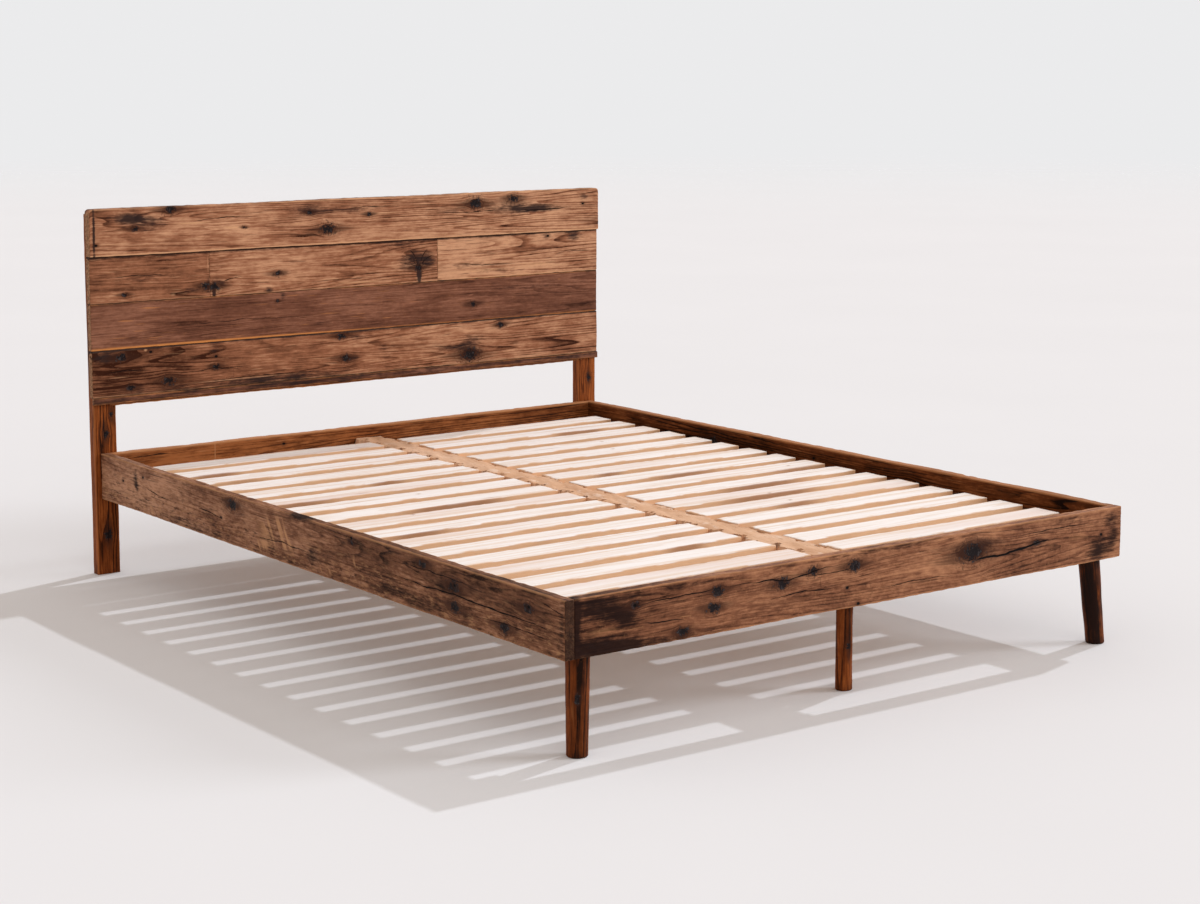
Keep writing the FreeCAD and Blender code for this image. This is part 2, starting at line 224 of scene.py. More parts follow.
def spot_field(u, v, spots):
    """Sum of soft oval spots, each (u, v, reach along, reach across, depth)."""
    total = np.zeros(u.shape)
    for spot_u, spot_v, reach_u, reach_v, depth in spots:
        total += depth * bell((u - spot_u) / reach_u) * bell((v - spot_v) / reach_v)
    return total


beside_knot = knot_fields(np.array([15.0]), np.zeros(1), [(0, 0, 5)])
print("15 mm along the grain from a 5 mm knot, in radii:", beside_knot[0].round(2))

# %% [markdown]
# ## A sawn board
# A board is a rounded rectangle carried along the grain. The bevel tool could round a box, but it would
# leave nothing to shape: here the outline has many points on the shown face and few on the back, and
# the ends are drawn in over the same radius and closed by a small cap.

# %% The outline and the rings of a board
CORNER_STEPS = 4
CAP_SHARES = np.array([0.2, 0.45, 0.7, 0.9])


def rounded_outline(height, depth, radius, steps):
    """Points (v, w) once round a rectangle and their outward normals.

    Each corner is a quarter circle, centre plus radius times normal, and each side is evenly divided
    by its own step: face, upper edge, back, lower edge.
    """
    centres = [(radius, radius), (height - radius, radius),
               (height - radius, depth - radius), (radius, depth - radius)]
    runs = [height - 2 * radius, depth - 2 * radius] * 2
    points, normals = [], []
    for quarter, centre in enumerate(centres):
        angle = np.radians(180 + 90 * quarter + np.linspace(0, 90, CORNER_STEPS + 1))
        normal = np.stack([np.cos(angle), np.sin(angle)], 1)
        arc = np.array(centre) + radius * normal
        count = max(2, round(runs[quarter] / steps[quarter]))
        share = (np.arange(1, count) / count)[:, None]
        following = np.array(centres[(quarter + 1) % 4]) + radius * normal[-1]
        side = arc[-1] + share * (following - arc[-1])
        points += [arc, side]
        normals += [normal, np.repeat(normal[-1:], count - 1, 0)]
    return np.concatenate(points), np.concatenate(normals)


def ring_stations(length, radius, step):
    """For each ring its u, how far its outline is drawn in, and its scale about the middle.

    The end cap grows from the pole at u = 0, the edge is a quarter circle, then even rings follow,
    and the other end mirrors the first.
    """
    angle = np.radians(np.linspace(90, 30, 3))
    edge_u, edge_inset = radius * (1 - np.sin(angle)), radius * (1 - np.cos(angle))
    start_u = np.concatenate([0 * CAP_SHARES, edge_u])
    start_inset = np.concatenate([0 * CAP_SHARES + radius, edge_inset])
    start_scale = np.concatenate([CAP_SHARES, 0 * edge_u + 1])
    count = max(3, round((length - 2 * radius) / step))
    body = np.linspace(radius, length - radius, count + 1)
    u = np.concatenate([start_u, body, length - start_u[::-1]])
    inset = np.concatenate([start_inset, 0 * body, start_inset[::-1]])
    scale = np.concatenate([start_scale, 0 * body + 1, start_scale[::-1]])
    return u, inset, scale


print("rings along a metre of board:", len(ring_stations(1.0, 0.002, 0.003)[0]))

# %% [markdown]
# ## Marks in the surface
# On a real board the marks are dents, grooves and worn edges, and they catch the light. A bump in the
# finish could stand for them all, but only a real dip shows on an edge. So each point is moved along
# its normal, and what moved it is kept as attributes for the finish.

# %% A board with its marks
# Some stains below are painted shade, and some tones are painted light.
MARK_KINDS = ("knots", "nails", "splits", "fine_splits", "stains", "bare", "tone")
EDGE_STEP = 0.004
BACK_STEP = 0.012
EDGE_REACH = 0.0035
END_REACH = 0.003
# Height, length along the grain and length across it.
BOARD_WAVES = ((0.0004, 0.55, 0.16), (0.0002, 0.06, 0.016))
CHIP_DEPTH = 0.0012
CHIP_LENGTHS = (0.09, 0.7)
SHOWN_SHARE = 0.6
KNOT_DISH = 0.0012
KNOT_RIM = 0.0002
NAIL_DEPTH = 0.0020
SPLIT_DEPTH = 0.0020
FINE_SPLIT_DEPTH = 0.0012
BOARD_SHIFT = 7.3


def shaped_board(name, node, grain, face, finish, slot, seed, marks, ease=0.002, step=0.003, rough=1.0,
                 carve=None):
    """A board in the place of a CAD node, with its marks as grooves, dishes and vertex attributes.

    The surface is moved along its normal by long waves, chipped edges, dished knots and the grooves of
    its splits. carve(u, v, w, sizes), for a board that isn't a plain box, gives its v, its w and how
    torn it is. BOARD_SHIFT times the seed sets each board in a stretch of grain of its own.
    """
    corner, directions, (length, height, depth) = board_directions(node, grain, face)
    marks = {kind: marks.get(kind, []) for kind in MARK_KINDS}
    outline, normals = rounded_outline(height, depth, ease, (step, EDGE_STEP, BACK_STEP, EDGE_STEP))
    ring_u, inset, scale = ring_stations(length, ease, step)
    u = np.repeat(ring_u[:, None], len(outline), 1)
    v = height / 2 + (outline[:, 0] - height / 2) * (scale * (1 - 2 * inset / height))[:, None]
    w = depth / 2 + (outline[:, 1] - depth / 2) * (scale * (1 - 2 * inset / depth))[:, None]

    along, across = u / MM, v / MM
    knot, smear, bent = knot_fields(along, across, marks["knots"])
    nail, _, _ = knot_fields(along, across, [(a, b, NAIL_RADIUS) for a, b in marks["nails"]])
    split, opening = split_fields(along, across, marks["splits"], seed)
    fine, fine_opening = split_fields(along, across, marks["fine_splits"], seed + 50)
    shown = np.clip(1 - w / (SHOWN_SHARE * depth), 0, 1)
    opening, fine_opening = opening * shown, fine_opening * shown

    edge = np.exp(-np.hypot(np.minimum(v, height - v), np.minimum(w, depth - w)) / EDGE_REACH)
    end = np.exp(-np.minimum(u, length - u) / END_REACH)
    chip = np.clip(waves(u, 9 * v + 5 * w, seed + 3, *CHIP_LENGTHS) - 1.0, 0, 1)
    lift = -CHIP_DEPTH * rough * edge * chip * (0.35 + 0.65 * v / height)
    for number, (rise, length_u, length_v) in enumerate(BOARD_WAVES):
        lift += rise * rough * waves(u, v, seed + number, length_u, length_v)
    lift -= KNOT_DISH * bell(knot / 0.75) - KNOT_RIM * bell((knot - 1.25) / 0.35)
    lift -= NAIL_DEPTH * bell(nail / 0.9) * shown
    lift -= SPLIT_DEPTH * opening * bell(split / 1.3)
    lift -= FINE_SPLIT_DEPTH * fine_opening * bell(fine / 1.3)
    lift *= (scale == 1)[:, None]
    v = v + lift * normals[:, 0]
    w = w + lift * normals[:, 1]
    spots = {kind: spot_field(u / MM, v / MM, marks[kind]) for kind in ("stains", "bare", "tone")}
    if carve:
        v, w, torn = carve(u, v, w, (length, height, depth))
        spots["stains"] += torn

    local = np.stack([u, v, w], -1).reshape(-1, 3)
    poles = np.array([[0, height / 2, depth / 2], [length, height / 2, depth / 2]])
    vertices = corner + np.concatenate([local, poles]) @ directions
    faces = ring_faces(len(ring_u), len(outline), np.linalg.det(directions) < 0)

    fields = {
        "grain": (u + BOARD_SHIFT * seed, bent * MM, w),
        "marks": (knot, nail, spots["stains"]),
        "split": (split, opening, smear),
        "fine_split": (fine, fine_opening, spots["bare"]),
        "wear": (edge, end, spots["tone"]),
    }
    return add_piece(name, vertices, faces, fields, finish, node)


print("marks that a board can have:", ", ".join(MARK_KINDS))

# %% [markdown]
# ## Arithmetic on sockets
# A finish is a formula, and a formula reads best as one. Node trees could be wired by hand, but a small
# class that wraps a socket lets Python's own operators add the Math nodes, and one method makes any
# other node from its type, its settings and the values of its sockets.

# %% The socket class
class Dye:
    """A socket of a finish's node tree that takes part in arithmetic."""

    def __init__(self, tree, socket):
        self.tree = tree
        self.socket = socket

    def node(self, kind, settings, sockets, output=0):
        """A new node: its settings are set first, then its sockets by name or number."""
        made = self.tree.nodes.new(kind)
        for key, value in settings.items():
            if key == "stops":
                ramp = made.color_ramp.elements
                while len(ramp) < len(value):
                    ramp.new(0.5)
                for stop, (place, colour) in zip(ramp, value):
                    stop.position = place
                    stop.color = (*colour, 1)
            else:
                setattr(made, key, value)
        for key, value in sockets.items():
            if isinstance(value, Dye):
                self.tree.links.new(value.socket, made.inputs[key])
            else:
                made.inputs[key].default_value = value
        return Dye(self.tree, made.outputs[output])

    def math(self, operation, first, second=0.0):
        return self.node("ShaderNodeMath", {"operation": operation}, {0: first, 1: second})

    def __add__(self, other):
        return self.math("ADD", self, other)

    def __sub__(self, other):
        return self.math("SUBTRACT", self, other)

    def __rsub__(self, other):
        return self.math("SUBTRACT", other, self)

    def __mul__(self, other):
        return self.math("MULTIPLY", self, other)

    def __abs__(self):
        return self.math("ABSOLUTE", self)

    __radd__ = __add__
    __rmul__ = __mul__

    def fract(self):
        return self.math("FRACT", self)

    def parts(self):
        """The three numbers of a vector."""
        split = self.node("ShaderNodeSeparateXYZ", {}, {0: self}).socket.node
        return [Dye(self.tree, out) for out in split.outputs]

    def read(self, label):
        """The three numbers of a vertex attribute."""
        return self.node("ShaderNodeAttribute", {"attribute_name": label}, {}, 1).parts()

    def place(self):
        """The three Object coordinates."""
        return self.node("ShaderNodeTexCoord", {}, {}, 3).parts()

    def smooth(self, low, high):
        """0 at low, 1 at high and eased between them; low may be the larger one."""
        sockets = {"Value": self, "From Min": low, "From Max": high}
        return self.node("ShaderNodeMapRange", {"interpolation_type": "SMOOTHSTEP"}, sockets)

    def noise(self, x, y, z, detail=2.0, rough=0.5):
        """Noise of about 0.5 at the point (x, y, z)."""
        point = self.node("ShaderNodeCombineXYZ", {}, {0: x, 1: y, 2: z})
        sockets = {"Vector": point, "Scale": 1.0, "Detail": detail, "Roughness": rough}
        return self.node("ShaderNodeTexNoise", {}, sockets)

    def late_wood(self, rings, start=0.3, crest=0.92, fall=0.94):
        """Growth rings of a noise: the fraction of its multiple, eased to a slow rise and a sharp fall."""
        phase = (rings * self).fract()
        return phase.smooth(start, crest) * phase.smooth(1.0, fall)

    def mix(self, first, second):
        """First colour where this value is 0 and second where it is 1."""
        settings = {"data_type": "RGBA", "clamp_factor": True}
        colours = [c if isinstance(c, Dye) else (*c, 1) for c in (first, second)]
        return self.node("ShaderNodeMix", settings, {0: self, 6: colours[0], 7: colours[1]}, 2)

    def ramp(self, *stops):
        return self.node("ShaderNodeValToRGB", {"stops": stops}, {0: self})


print("beside + - * and abs, a socket has", ", ".join(name for name in vars(Dye) if name[0] != "_"))

# %% A finish and its coats
def new_finish(name, **constants):
    """A material with one Principled shader, whose constant sockets are set, and a start for Dye."""
    finish = bpy.data.materials.new(name)
    finish.use_nodes = True
    shader = finish.node_tree.nodes["Principled BSDF"]
    for socket, value in constants.items():
        shader.inputs[socket.replace("_", " ")].default_value = value
    return finish, shader, Dye(finish.node_tree, None)


def connect(shader, tree_dye, colour, roughness, height, bump, distance):
    """Feed colour, roughness and a bumped normal to a shader."""
    normal = tree_dye.node("ShaderNodeBump", {}, {"Strength": bump, "Distance": distance, "Height": height})
    for socket, value in (("Base Color", colour), ("Roughness", roughness), ("Normal", normal)):
        tree_dye.tree.links.new(value.socket, shader.inputs[socket])


def times(colour, factor):
    """A colour made lighter or darker."""
    return tuple(factor * c for c in colour)


def coated(colour, coats):
    """A colour with coats laid over it in turn, each a (mask, strength, colour)."""
    for mask, strength, coat in coats:
        colour = (mask * strength).mix(colour, coat)
    return colour


print("half as light as (0.3, 0.12, 0.06):", times((0.3, 0.12, 0.06), 0.5))

# %% [markdown]
# ## Stained old wood
# Flat-sawn boards show the growth rings as long contour lines, so the pattern is the contour lines of a
# noise that is stretched along the grain: soft in the light early wood, and with a sharp dark edge in
# the late wood. Fibres, streaks and broad patches lie over it, then knots, nails, splits, stains and
# worn edges, which all come from the attributes that the board carries. Only the finest grit reads
# Object coordinates, so that it isn't drawn out where the grain bends round a knot.

# %% Layers of old wood
SOOT = (0.028, 0.0160, 0.0145)
KNOT_BLACK = (0.012, 0.0085, 0.0090)
KNOT_BROWN = (0.042, 0.0140, 0.0075)
# Grey flecks in the knot cores: a painted highlight.
KNOT_GLINT_GREY = (0.085, 0.068, 0.068)
GAP_BLACK = (0.004, 0.003, 0.003)
END_GRAIN = (0.30, 0.155, 0.080)


def board_layers(dye, u, v, w):
    """Noises over one board, from patches half a metre long down to flecks and single fibres."""
    def layer(cross, per_u, per_v, detail, rough=0.5):
        """Noise with so many bumps to the metre along the grain, and across it."""
        return dye.noise(u * per_u, cross * per_v, w * per_v, detail, rough)

    broad = layer(v, 2.0, 7.0, 3.0, 0.55)
    cloud = layer(v, 11.0, 26.0, 4.0, 0.62)
    wavy = v + 0.009 * (broad - 0.5) + 0.003 * (cloud - 0.5)
    late = layer(wavy, 0.5, 13.0, 1.0).late_wood(23.0, 0.55, 0.93, 0.95)
    band = layer(wavy, 2.6, 105.0, 4.0, 0.66)
    fibre = layer(wavy, 9.0, 240.0, 3.0, 0.65)
    fleck = layer(v, 42.0, 130.0, 3.0, 0.65)
    grit = dye.noise(*[p * 125.0 for p in dye.place()], 3.0, 0.7)
    return wavy, broad, cloud, late, band, fibre, fleck, grit


red_shares = [round(100 * colour[0], 1) for colour in (SOOT, KNOT_BLACK, GAP_BLACK)]
print("soot, a knot and a gap send back", red_shares, "percent of red light")

# %% The board finish
def board_finish(name, palette, streaks=1.0, rings=0.42, mottle=1.0, pits=0.1, flecks=0.5, worn=0.6,
                 weathered=False, smoke=0.45, soot=SOOT, gloss=0.04, shine=0.55, end_grain=END_GRAIN):
    """A stained board. palette is (light, middle, dark, worn), as linear colours.

    The depth of the stain is the weighted sum of the layers, and picks a colour of the palette. The
    marks are coats over it, each masked by a smooth step of its field and of a layer or two.
    """
    finish, shader, dye = new_finish(name, Specular_IOR_Level=gloss)
    u, v, w = dye.read("grain")
    knot, nail, stain = dye.read("marks")
    split, split_opening, smear = dye.read("split")
    fine, fine_opening, bare = dye.read("fine_split")
    edge, end, tone = dye.read("wear")
    light, middle, dark, worn_wood = palette
    wavy, broad, cloud, late, band, fibre, fleck, grit = board_layers(dye, u, v, w)

    lined = 0.25 + 1.2 * broad.smooth(0.35, 0.62)
    depth = 0.45 + streaks * (0.5 * (band - 0.5) + 0.9 * (fibre - 0.5)) + 1.4 * (broad - 0.5) + tone
    depth = depth + mottle * (cloud - 0.5) + flecks * (fleck - 0.5) + rings * lined * (late - 0.2)
    scratch = dye.noise(u * 11.0, v * 210.0, w * 210.0 + 9.1, 1.0).smooth(0.66, 0.74)
    dash = dye.noise(u * 9.0, v * 190.0, w * 190.0 + 5.3, 1.0).smooth(0.34, 0.27)
    coats = [
        (scratch * broad.smooth(0.62, 0.4), 0.4, worn_wood),
        (dash, 0.55, dark),
        (grit.smooth(0.54, 0.66) * broad.smooth(0.3, 0.6), pits, dark),
        (grit.smooth(0.42, 0.33), 0.6 * pits, worn_wood),
    ]
    if weathered:
        lower = v.smooth(0.090, 0.030)
        gold = dye.noise(u * 32.0, v * 110.0, w * 110.0, 4.0, 0.66)
        stroke = dye.noise((u + 0.58 * v) * 42.0, v * 6.0, w * 6.0, 2.0).smooth(0.5, 0.6)
        coats += [
            (gold.smooth(0.53, 0.64), 0.16 + 0.6 * lower, times(worn_wood, 0.72)),
            (gold.smooth(0.45, 0.36), 0.25 + 0.45 * lower, dark),
            (stroke * (bare + bare * (cloud - 0.5)).smooth(0.1, 0.7), 0.8, worn_wood),
        ]
    else:
        coats += [((bare + 0.9 * (band - 0.5) * bare).smooth(0.1, 0.6), 0.9, worn_wood)]

    wisp = (dye.noise(u * 3.0, wavy * 20.0, w * 20.0, 4.0, 0.6) + 0.3 * (band - 0.5)).smooth(0.56, 0.80)
    near_stain = stain.smooth(0.02, 0.25)
    blotch = (band - 0.5) + 1.2 * (cloud - 0.5) + 1.1 * (fibre - 0.5) + 0.9 * (fleck - 0.5)
    stained = stain + near_stain * blotch
    lump = 1.2 * (fleck - 0.5) + 1.2 * (cloud - 0.5) + 4.2 * (grit - 0.5)
    ragged_smear = smear + 3.4 * (band - 0.5) + 2.4 * (fibre - 0.5)
    swirl = (2.4 * knot + 0.7 * lump).fract().smooth(0.55, 0.95) * knot.smooth(3.6, 1.4)
    core = (knot + lump).smooth(1.16, 0.96)
    coats += [
        (edge.smooth(0.2, 0.75) * (broad + 0.8 * band).smooth(0.66, 0.95), worn, worn_wood),
        (wisp, smoke, dark),
        # The stain coat also lays the painted shade along some boards' upper edges.
        (stained.smooth(0.06, 1.05), 0.95, soot),
        (ragged_smear.smooth(2.1, 0.6), 0.75, KNOT_BROWN),
        (swirl, 0.3, KNOT_BROWN),
        ((knot + 1.6 * lump).smooth(2.0, 1.1), 0.55, KNOT_BROWN),
        # The grey flecks in each knot's core are painted highlights.
        (core, 1.0, (grit.smooth(0.46, 0.36) * 0.45).mix(KNOT_BLACK, KNOT_GLINT_GREY)),
        (nail.smooth(3.2, 1.0), 0.4, KNOT_BROWN),
        (nail.smooth(1.25, 0.7), 1.0, GAP_BLACK),
    ]
    gap = 0.0
    for offset, opening in ((split, split_opening), (fine, fine_opening)):
        away = abs(offset) + 1.2 * (band - 0.5)
        open_here = (opening * 1.15 - away).smooth(0.0, 0.3)
        coats += [((opening * 3.4 - away).smooth(0.0, 3.4), 0.5, KNOT_BROWN), (open_here, 1.0, GAP_BLACK)]
        gap = gap + open_here
    sawn_end = (0.5 * (fleck + fibre)).smooth(0.4, 0.6).mix(times(end_grain, 1.3), times(end_grain, 0.5))
    coats += [(end.smooth(0.7, 0.95) * stained.smooth(0.7, 0.2), 0.85, sawn_end)]
    colour = coated(depth.ramp((0.0, light), (0.45, middle), (1.0, dark)), coats)

    height = 0.8 * (band + fibre) - 0.5 * late + 0.4 * fleck - 2.4 * gap - 0.6 * dash - 0.8 * core
    roughness = shine + 0.5 * (band - 0.5) + 0.3 * (fleck - 0.5) + 0.2 * gap
    connect(shader, dye, colour, roughness, height, bump=0.5, distance=0.0010)
    return finish


warm_palette = ((0.61, 0.325, 0.185), (0.300, 0.120, 0.061), (0.040, 0.0105, 0.0042), (0.66, 0.36, 0.195))
warm_boards = board_finish("headboard_boards", warm_palette)
print("headboard finish:", len(warm_boards.node_tree.nodes), "nodes")

# %% Finishes of the other boards
dark_palette = ((0.34, 0.150, 0.090), (0.165, 0.064, 0.037), (0.034, 0.0100, 0.0050), (0.60, 0.235, 0.070))
grey_palette = ((0.46, 0.235, 0.135), (0.195, 0.082, 0.043), (0.022, 0.0075, 0.0036), (0.50, 0.255, 0.125))
foot_palette = ((0.46, 0.212, 0.108), (0.220, 0.086, 0.043), (0.024, 0.0070, 0.0032), (0.52, 0.245, 0.110))
post_palette = ((0.36, 0.100, 0.022), (0.150, 0.034, 0.0064), (0.012, 0.0034, 0.0012), (0.40, 0.14, 0.045))
# The inner rails' palette is deep and red with painted shade of their inner faces.
shaded_inner_palette = ((0.36, 0.120, 0.038), (0.135, 0.037, 0.0100), (0.012, 0.0036, 0.0014), (0.44, 0.19, 0.080))
rail_soot = (0.010, 0.0046, 0.0036)
char = (0.014, 0.0048, 0.0034)
dark_board = board_finish("dark_board", dark_palette, rings=0.2, streaks=0.9, mottle=0.6, smoke=0.25)
grey_board = board_finish("weathered_rail", grey_palette, streaks=0.8, rings=0.2, mottle=1.1, flecks=0.9,
                          weathered=True, smoke=0.3, soot=rail_soot, gloss=0.05, end_grain=rail_soot)
foot_board = board_finish("foot_rail_board", foot_palette, streaks=0.8, rings=0.25, mottle=0.8, pits=0.3,
                          flecks=0.8, smoke=0.25, soot=char, gloss=0.05, end_grain=char)
inner_board = board_finish("inner_rail_board", shaded_inner_palette, streaks=1.1, smoke=0.3, soot=rail_soot)
post_board = board_finish("post_wood", post_palette, streaks=1.3, mottle=0.4, smoke=0.3, soot=rail_soot,
                          gloss=0.06, shine=0.5)
other_boards = (dark_board, grey_board, foot_board, inner_board, post_board)
print("other finishes:", ", ".join(finish.name for finish in other_boards))

# %% [markdown]
# ## The headboard
# Four rows of reclaimed planks cross the posts. Their knots, splits and stains are listed, in
# millimetres from the left end and the lower edge of each board, so that the eye finds the same
# history board by board: the sooty smear at the left of the top plank, the fan knot beside the joint,
# the dark knots of the lowest row.

# %% Corners, grime and painted shade of the planks
CORNER_RADIUS = 0.010


def round_upper_corners(u, v, w, sizes):
    """A carving that lowers v near both ends, so that the upper corners are quarter circles."""
    length, height, _ = sizes
    reach = np.clip(CORNER_RADIUS - np.minimum(u, length - u), 0, CORNER_RADIUS)
    drop = CORNER_RADIUS - np.sqrt(CORNER_RADIUS**2 - reach**2)
    return v * (1 - drop / height), w, 0 * u


def box_size(node):
    """Width, depth and height of a node's box."""
    low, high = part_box(node)
    return np.array(high) - np.array(low)


def edge_dirt_and_shade(node, reach, depth):
    """A dark stain in millimetres along a lying board's upper edge: grime and painted shade under a board
    above.
    """
    width, _, height = box_size(node) / MM
    return (width / 2, height, 4 * width, reach, depth)


def count_marks(*boards):
    """How many marks some boards have together."""
    return sum(len(places) for marks in boards for places in marks.values())


print("height of a plank:", box_size("headboard_plank_3")[2].round(3))

# %% Marks of the upper two rows
top_marks = {
    "knots": [(235, 116, 8), (716, 42, 11), (660, 92, 5), (851, 78, 4), (1213, 95, 11), (1345, 104, 9),
              (455, 60, 3), (130, 70, 5)],
    "nails": [(18, 30), (1602, 80)],
    "splits": [(1.3, [(1360, 70), (1450, 66), (1560, 72)])],
    "fine_splits": [(0.9, [(300, 82), (400, 90), (500, 86)]), (0.9, [(1100, 74), (1200, 70), (1320, 74)]),
                    (0.8, [(760, 96), (840, 100), (940, 98)])],
    # The stain at 12 mm is painted shade of a groove near the left end.
    "stains": [(115, 98, 50, 14, 1.2), (175, 90, 60, 12, 0.75), (160, 70, 60, 12, 0.35),
               (1400, 74, 80, 16, 0.85), (1300, 82, 70, 20, 0.55), (1605, 100, 20, 12, 0.7),
               (1470, 70, 80, 8, 0.6), (12, 60, 3, 65, 1.7), (800, 94, 80, 12, 0.45),
               (660, 98, 60, 18, 0.65), (1120, 76, 50, 8, 0.55), (730, 30, 30, 10, 0.35)],
    "bare": [(300, 78, 60, 3, 0.6), (420, 60, 30, 3, 0.7), (900, 80, 60, 3, 0.5), (620, 62, 40, 3, 0.45),
             (800, 2, 4000, 2.5, 0.7)],
    # The tone at 1400 mm lightens the right end: painted light from the right.
    "tone": [(100, 20, 450, 40, 0.04), (1400, 50, 500, 200, -0.24), (420, 60, 250, 40, -0.08)],
}
second_left_marks = {
    "knots": [(335, 30, 7), (100, 20, 4)],
    "fine_splits": [(0.9, [(40, 66), (140, 70), (250, 66)]), (0.8, [(220, 14), (280, 18), (340, 14)])],
    "stains": [(346, 30, 8, 22, 1), (300, 20, 30, 8, 0.5), (160, 60, 120, 8, 0.35)],
    "bare": [(240, 12, 10, 5, 0.35), (346, 90, 2, 30, 0.4)],
    "tone": [(120, 60, 500, 200, 0.26)],
}
second_middle_marks = {
    "knots": [(209, 52, 6), (14, 26, 8), (669, 40, 6)],
    "splits": [(0.8, [(600, 60), (630, 56), (668, 46)]), (1, [(612, 80), (640, 70), (670, 44)]),
               (1.6, [(640, 96), (655, 78), (671, 42)]), (1.6, [(667, 42), (684, 76), (700, 96)]),
               (1, [(668, 44), (698, 68), (724, 78)]), (0.8, [(670, 46), (704, 54), (730, 56)])],
    "fine_splits": [(0.8, [(30, 36), (60, 44), (100, 48)]), (0.7, [(300, 20), (420, 24), (560, 20)])],
    "stains": [(668, 40, 4, 16, 2.2), (671, 18, 6, 16, 2.6), (640, 66, 36, 26, 0.8),
               (698, 62, 30, 28, 0.75), (625, 44, 50, 8, 0.4), (12, 14, 5, 20, 2), (30, 36, 30, 12, 0.6),
               (220, 50, 30, 6, 0.5), (620, 110, 100, 10, 0.4), (180, 5, 12, 14, 0.9)],
    "bare": [(20, 18, 20, 10, 0.5), (480, 12, 100, 4, 0.5), (670, 6, 8, 6, 0.7)],
    "tone": [(360, 100, 600, 40, 0.08), (400, 40, 500, 40, -0.06)],
}
second_right_marks = {
    "nails": [(393, 112)],
    "fine_splits": [(0.9, [(20, 50), (120, 40), (280, 36)]), (0.8, [(420, 58), (490, 64), (570, 60)])],
    "stains": [(487, 107, 28, 16, 0.85), (385, 110, 14, 9, 0.6), (120, 38, 100, 8, 0.45),
               (200, 18, 140, 8, 0.35)],
    "bare": [(160, 22, 120, 6, 0.5), (360, 30, 80, 6, 0.4), (300, 1, 400, 2, 0.7)],
    # This tone lightens the board: painted light from the right.
    "tone": [(300, 60, 500, 200, -0.25)],
}
second_row = count_marks(second_left_marks, second_middle_marks, second_right_marks)
print("marks of the top plank and the second row:", count_marks(top_marks), second_row)

# %% Marks of the lower rows
third_marks = {
    "knots": [(1208, 49, 6), (560, 100, 3)],
    "fine_splits": [(0.7, [(250, 50), (450, 56), (700, 50)])],
    "stains": [(990, 95, 1.5, 30, 0.5), (575, 112, 8, 12, 0.9), (700, 30, 30, 5, 0.4),
               (1400, 88, 140, 8, 0.35)],
    "bare": [(300, 1, 460, 4, 1.4), (1520, 105, 9, 3, 0.3)],
    # The tone at 1400 mm lightens the right end: painted light from the right.
    "tone": [(1400, 90, 500, 50, -0.22), (200, 60, 350, 200, -0.02), (1200, 10, 500, 25, 0.1)],
}
fourth_marks = {
    "knots": [(85, 104, 8), (222, 30, 10), (363, 57, 6), (760, 112, 6), (773, 48, 8), (1305, 106, 6),
              (1194, 26, 14), (110, 20, 6)],
    "nails": [(365, 85), (170, 112)],
    "splits": [(1.2, [(30, 64), (100, 68), (170, 62)])],
    "fine_splits": [(0.9, [(250, 46), (340, 52), (480, 50)]), (0.9, [(330, 18), (500, 22), (700, 18)]),
                    (0.9, [(1060, 58), (1120, 54), (1200, 58)])],
    "stains": [(45, 106, 45, 12, 1.3), (500, 8, 300, 14, 0.7), (1190, 34, 40, 26, 0.8),
               (1210, 72, 40, 18, 0.5), (1120, 50, 60, 10, 0.5), (810, 105, 45, 10, 0.7),
               (790, 46, 30, 10, 0.45), (130, 12, 40, 14, 0.6), (360, 100, 20, 14, 0.4),
               (900, 60, 30, 30, 0.25)],
    "bare": [(75, 50, 40, 3, 0.35), (155, 119, 6, 5, 0.5), (450, 18, 200, 2, 0.6)],
    # The tone at 1350 mm lightens the right end: painted light from the right.
    "tone": [(150, 60, 550, 200, 0.36), (1350, 60, 400, 200, -0.08)],
}
base_marks = {"stains": [(800, 10, 4000, 1000, 0.55)]}
lower_marks = {"tone": [(800, 10, 4000, 1000, 0.2)], "bare": [(300, 1, 500, 3, 0.4)]}
print("marks of the third and fourth row:", count_marks(third_marks), count_marks(fourth_marks))

# %% Boards of the headboard
headboard_boards = [
    ("headboard_top_plank", warm_boards, "headboard_boards", 1, top_marks, (2, 0.3), round_upper_corners),
    ("headboard_plank_2_left", warm_boards, "headboard_boards", 2, second_left_marks, (6, 1.4), None),
    ("headboard_plank_2_middle", warm_boards, "headboard_boards", 3, second_middle_marks, (6, 1.4), None),
    ("headboard_plank_2_right", warm_boards, "headboard_boards", 4, second_right_marks, (6, 1.3), None),
    ("headboard_plank_3", dark_board, "dark_board", 5, third_marks, (3, 0.9), None),
    ("headboard_plank_4", warm_boards, "headboard_boards", 6, fourth_marks, (4, 1.3), None),
    ("headboard_base_strip", dark_board, "dark_board", 7, base_marks, (1, 0.3), None),
    ("headboard_lower_rail", dark_board, "dark_board", 8, lower_marks, (2, 0.5), None),
]
# Each board's upper edge gets a dark line: painted shade under the board above it, and grime.
for node, finish, slot, seed, marks, dirt_and_shade, carve in headboard_boards:
    marks["stains"] = marks.get("stains", []) + [edge_dirt_and_shade(node, *dirt_and_shade)]
    shaped_board(node + "_board", node, "+x", "-y", finish, slot, seed, marks, carve=carve)
print("headboard boards:", len(headboard_boards))
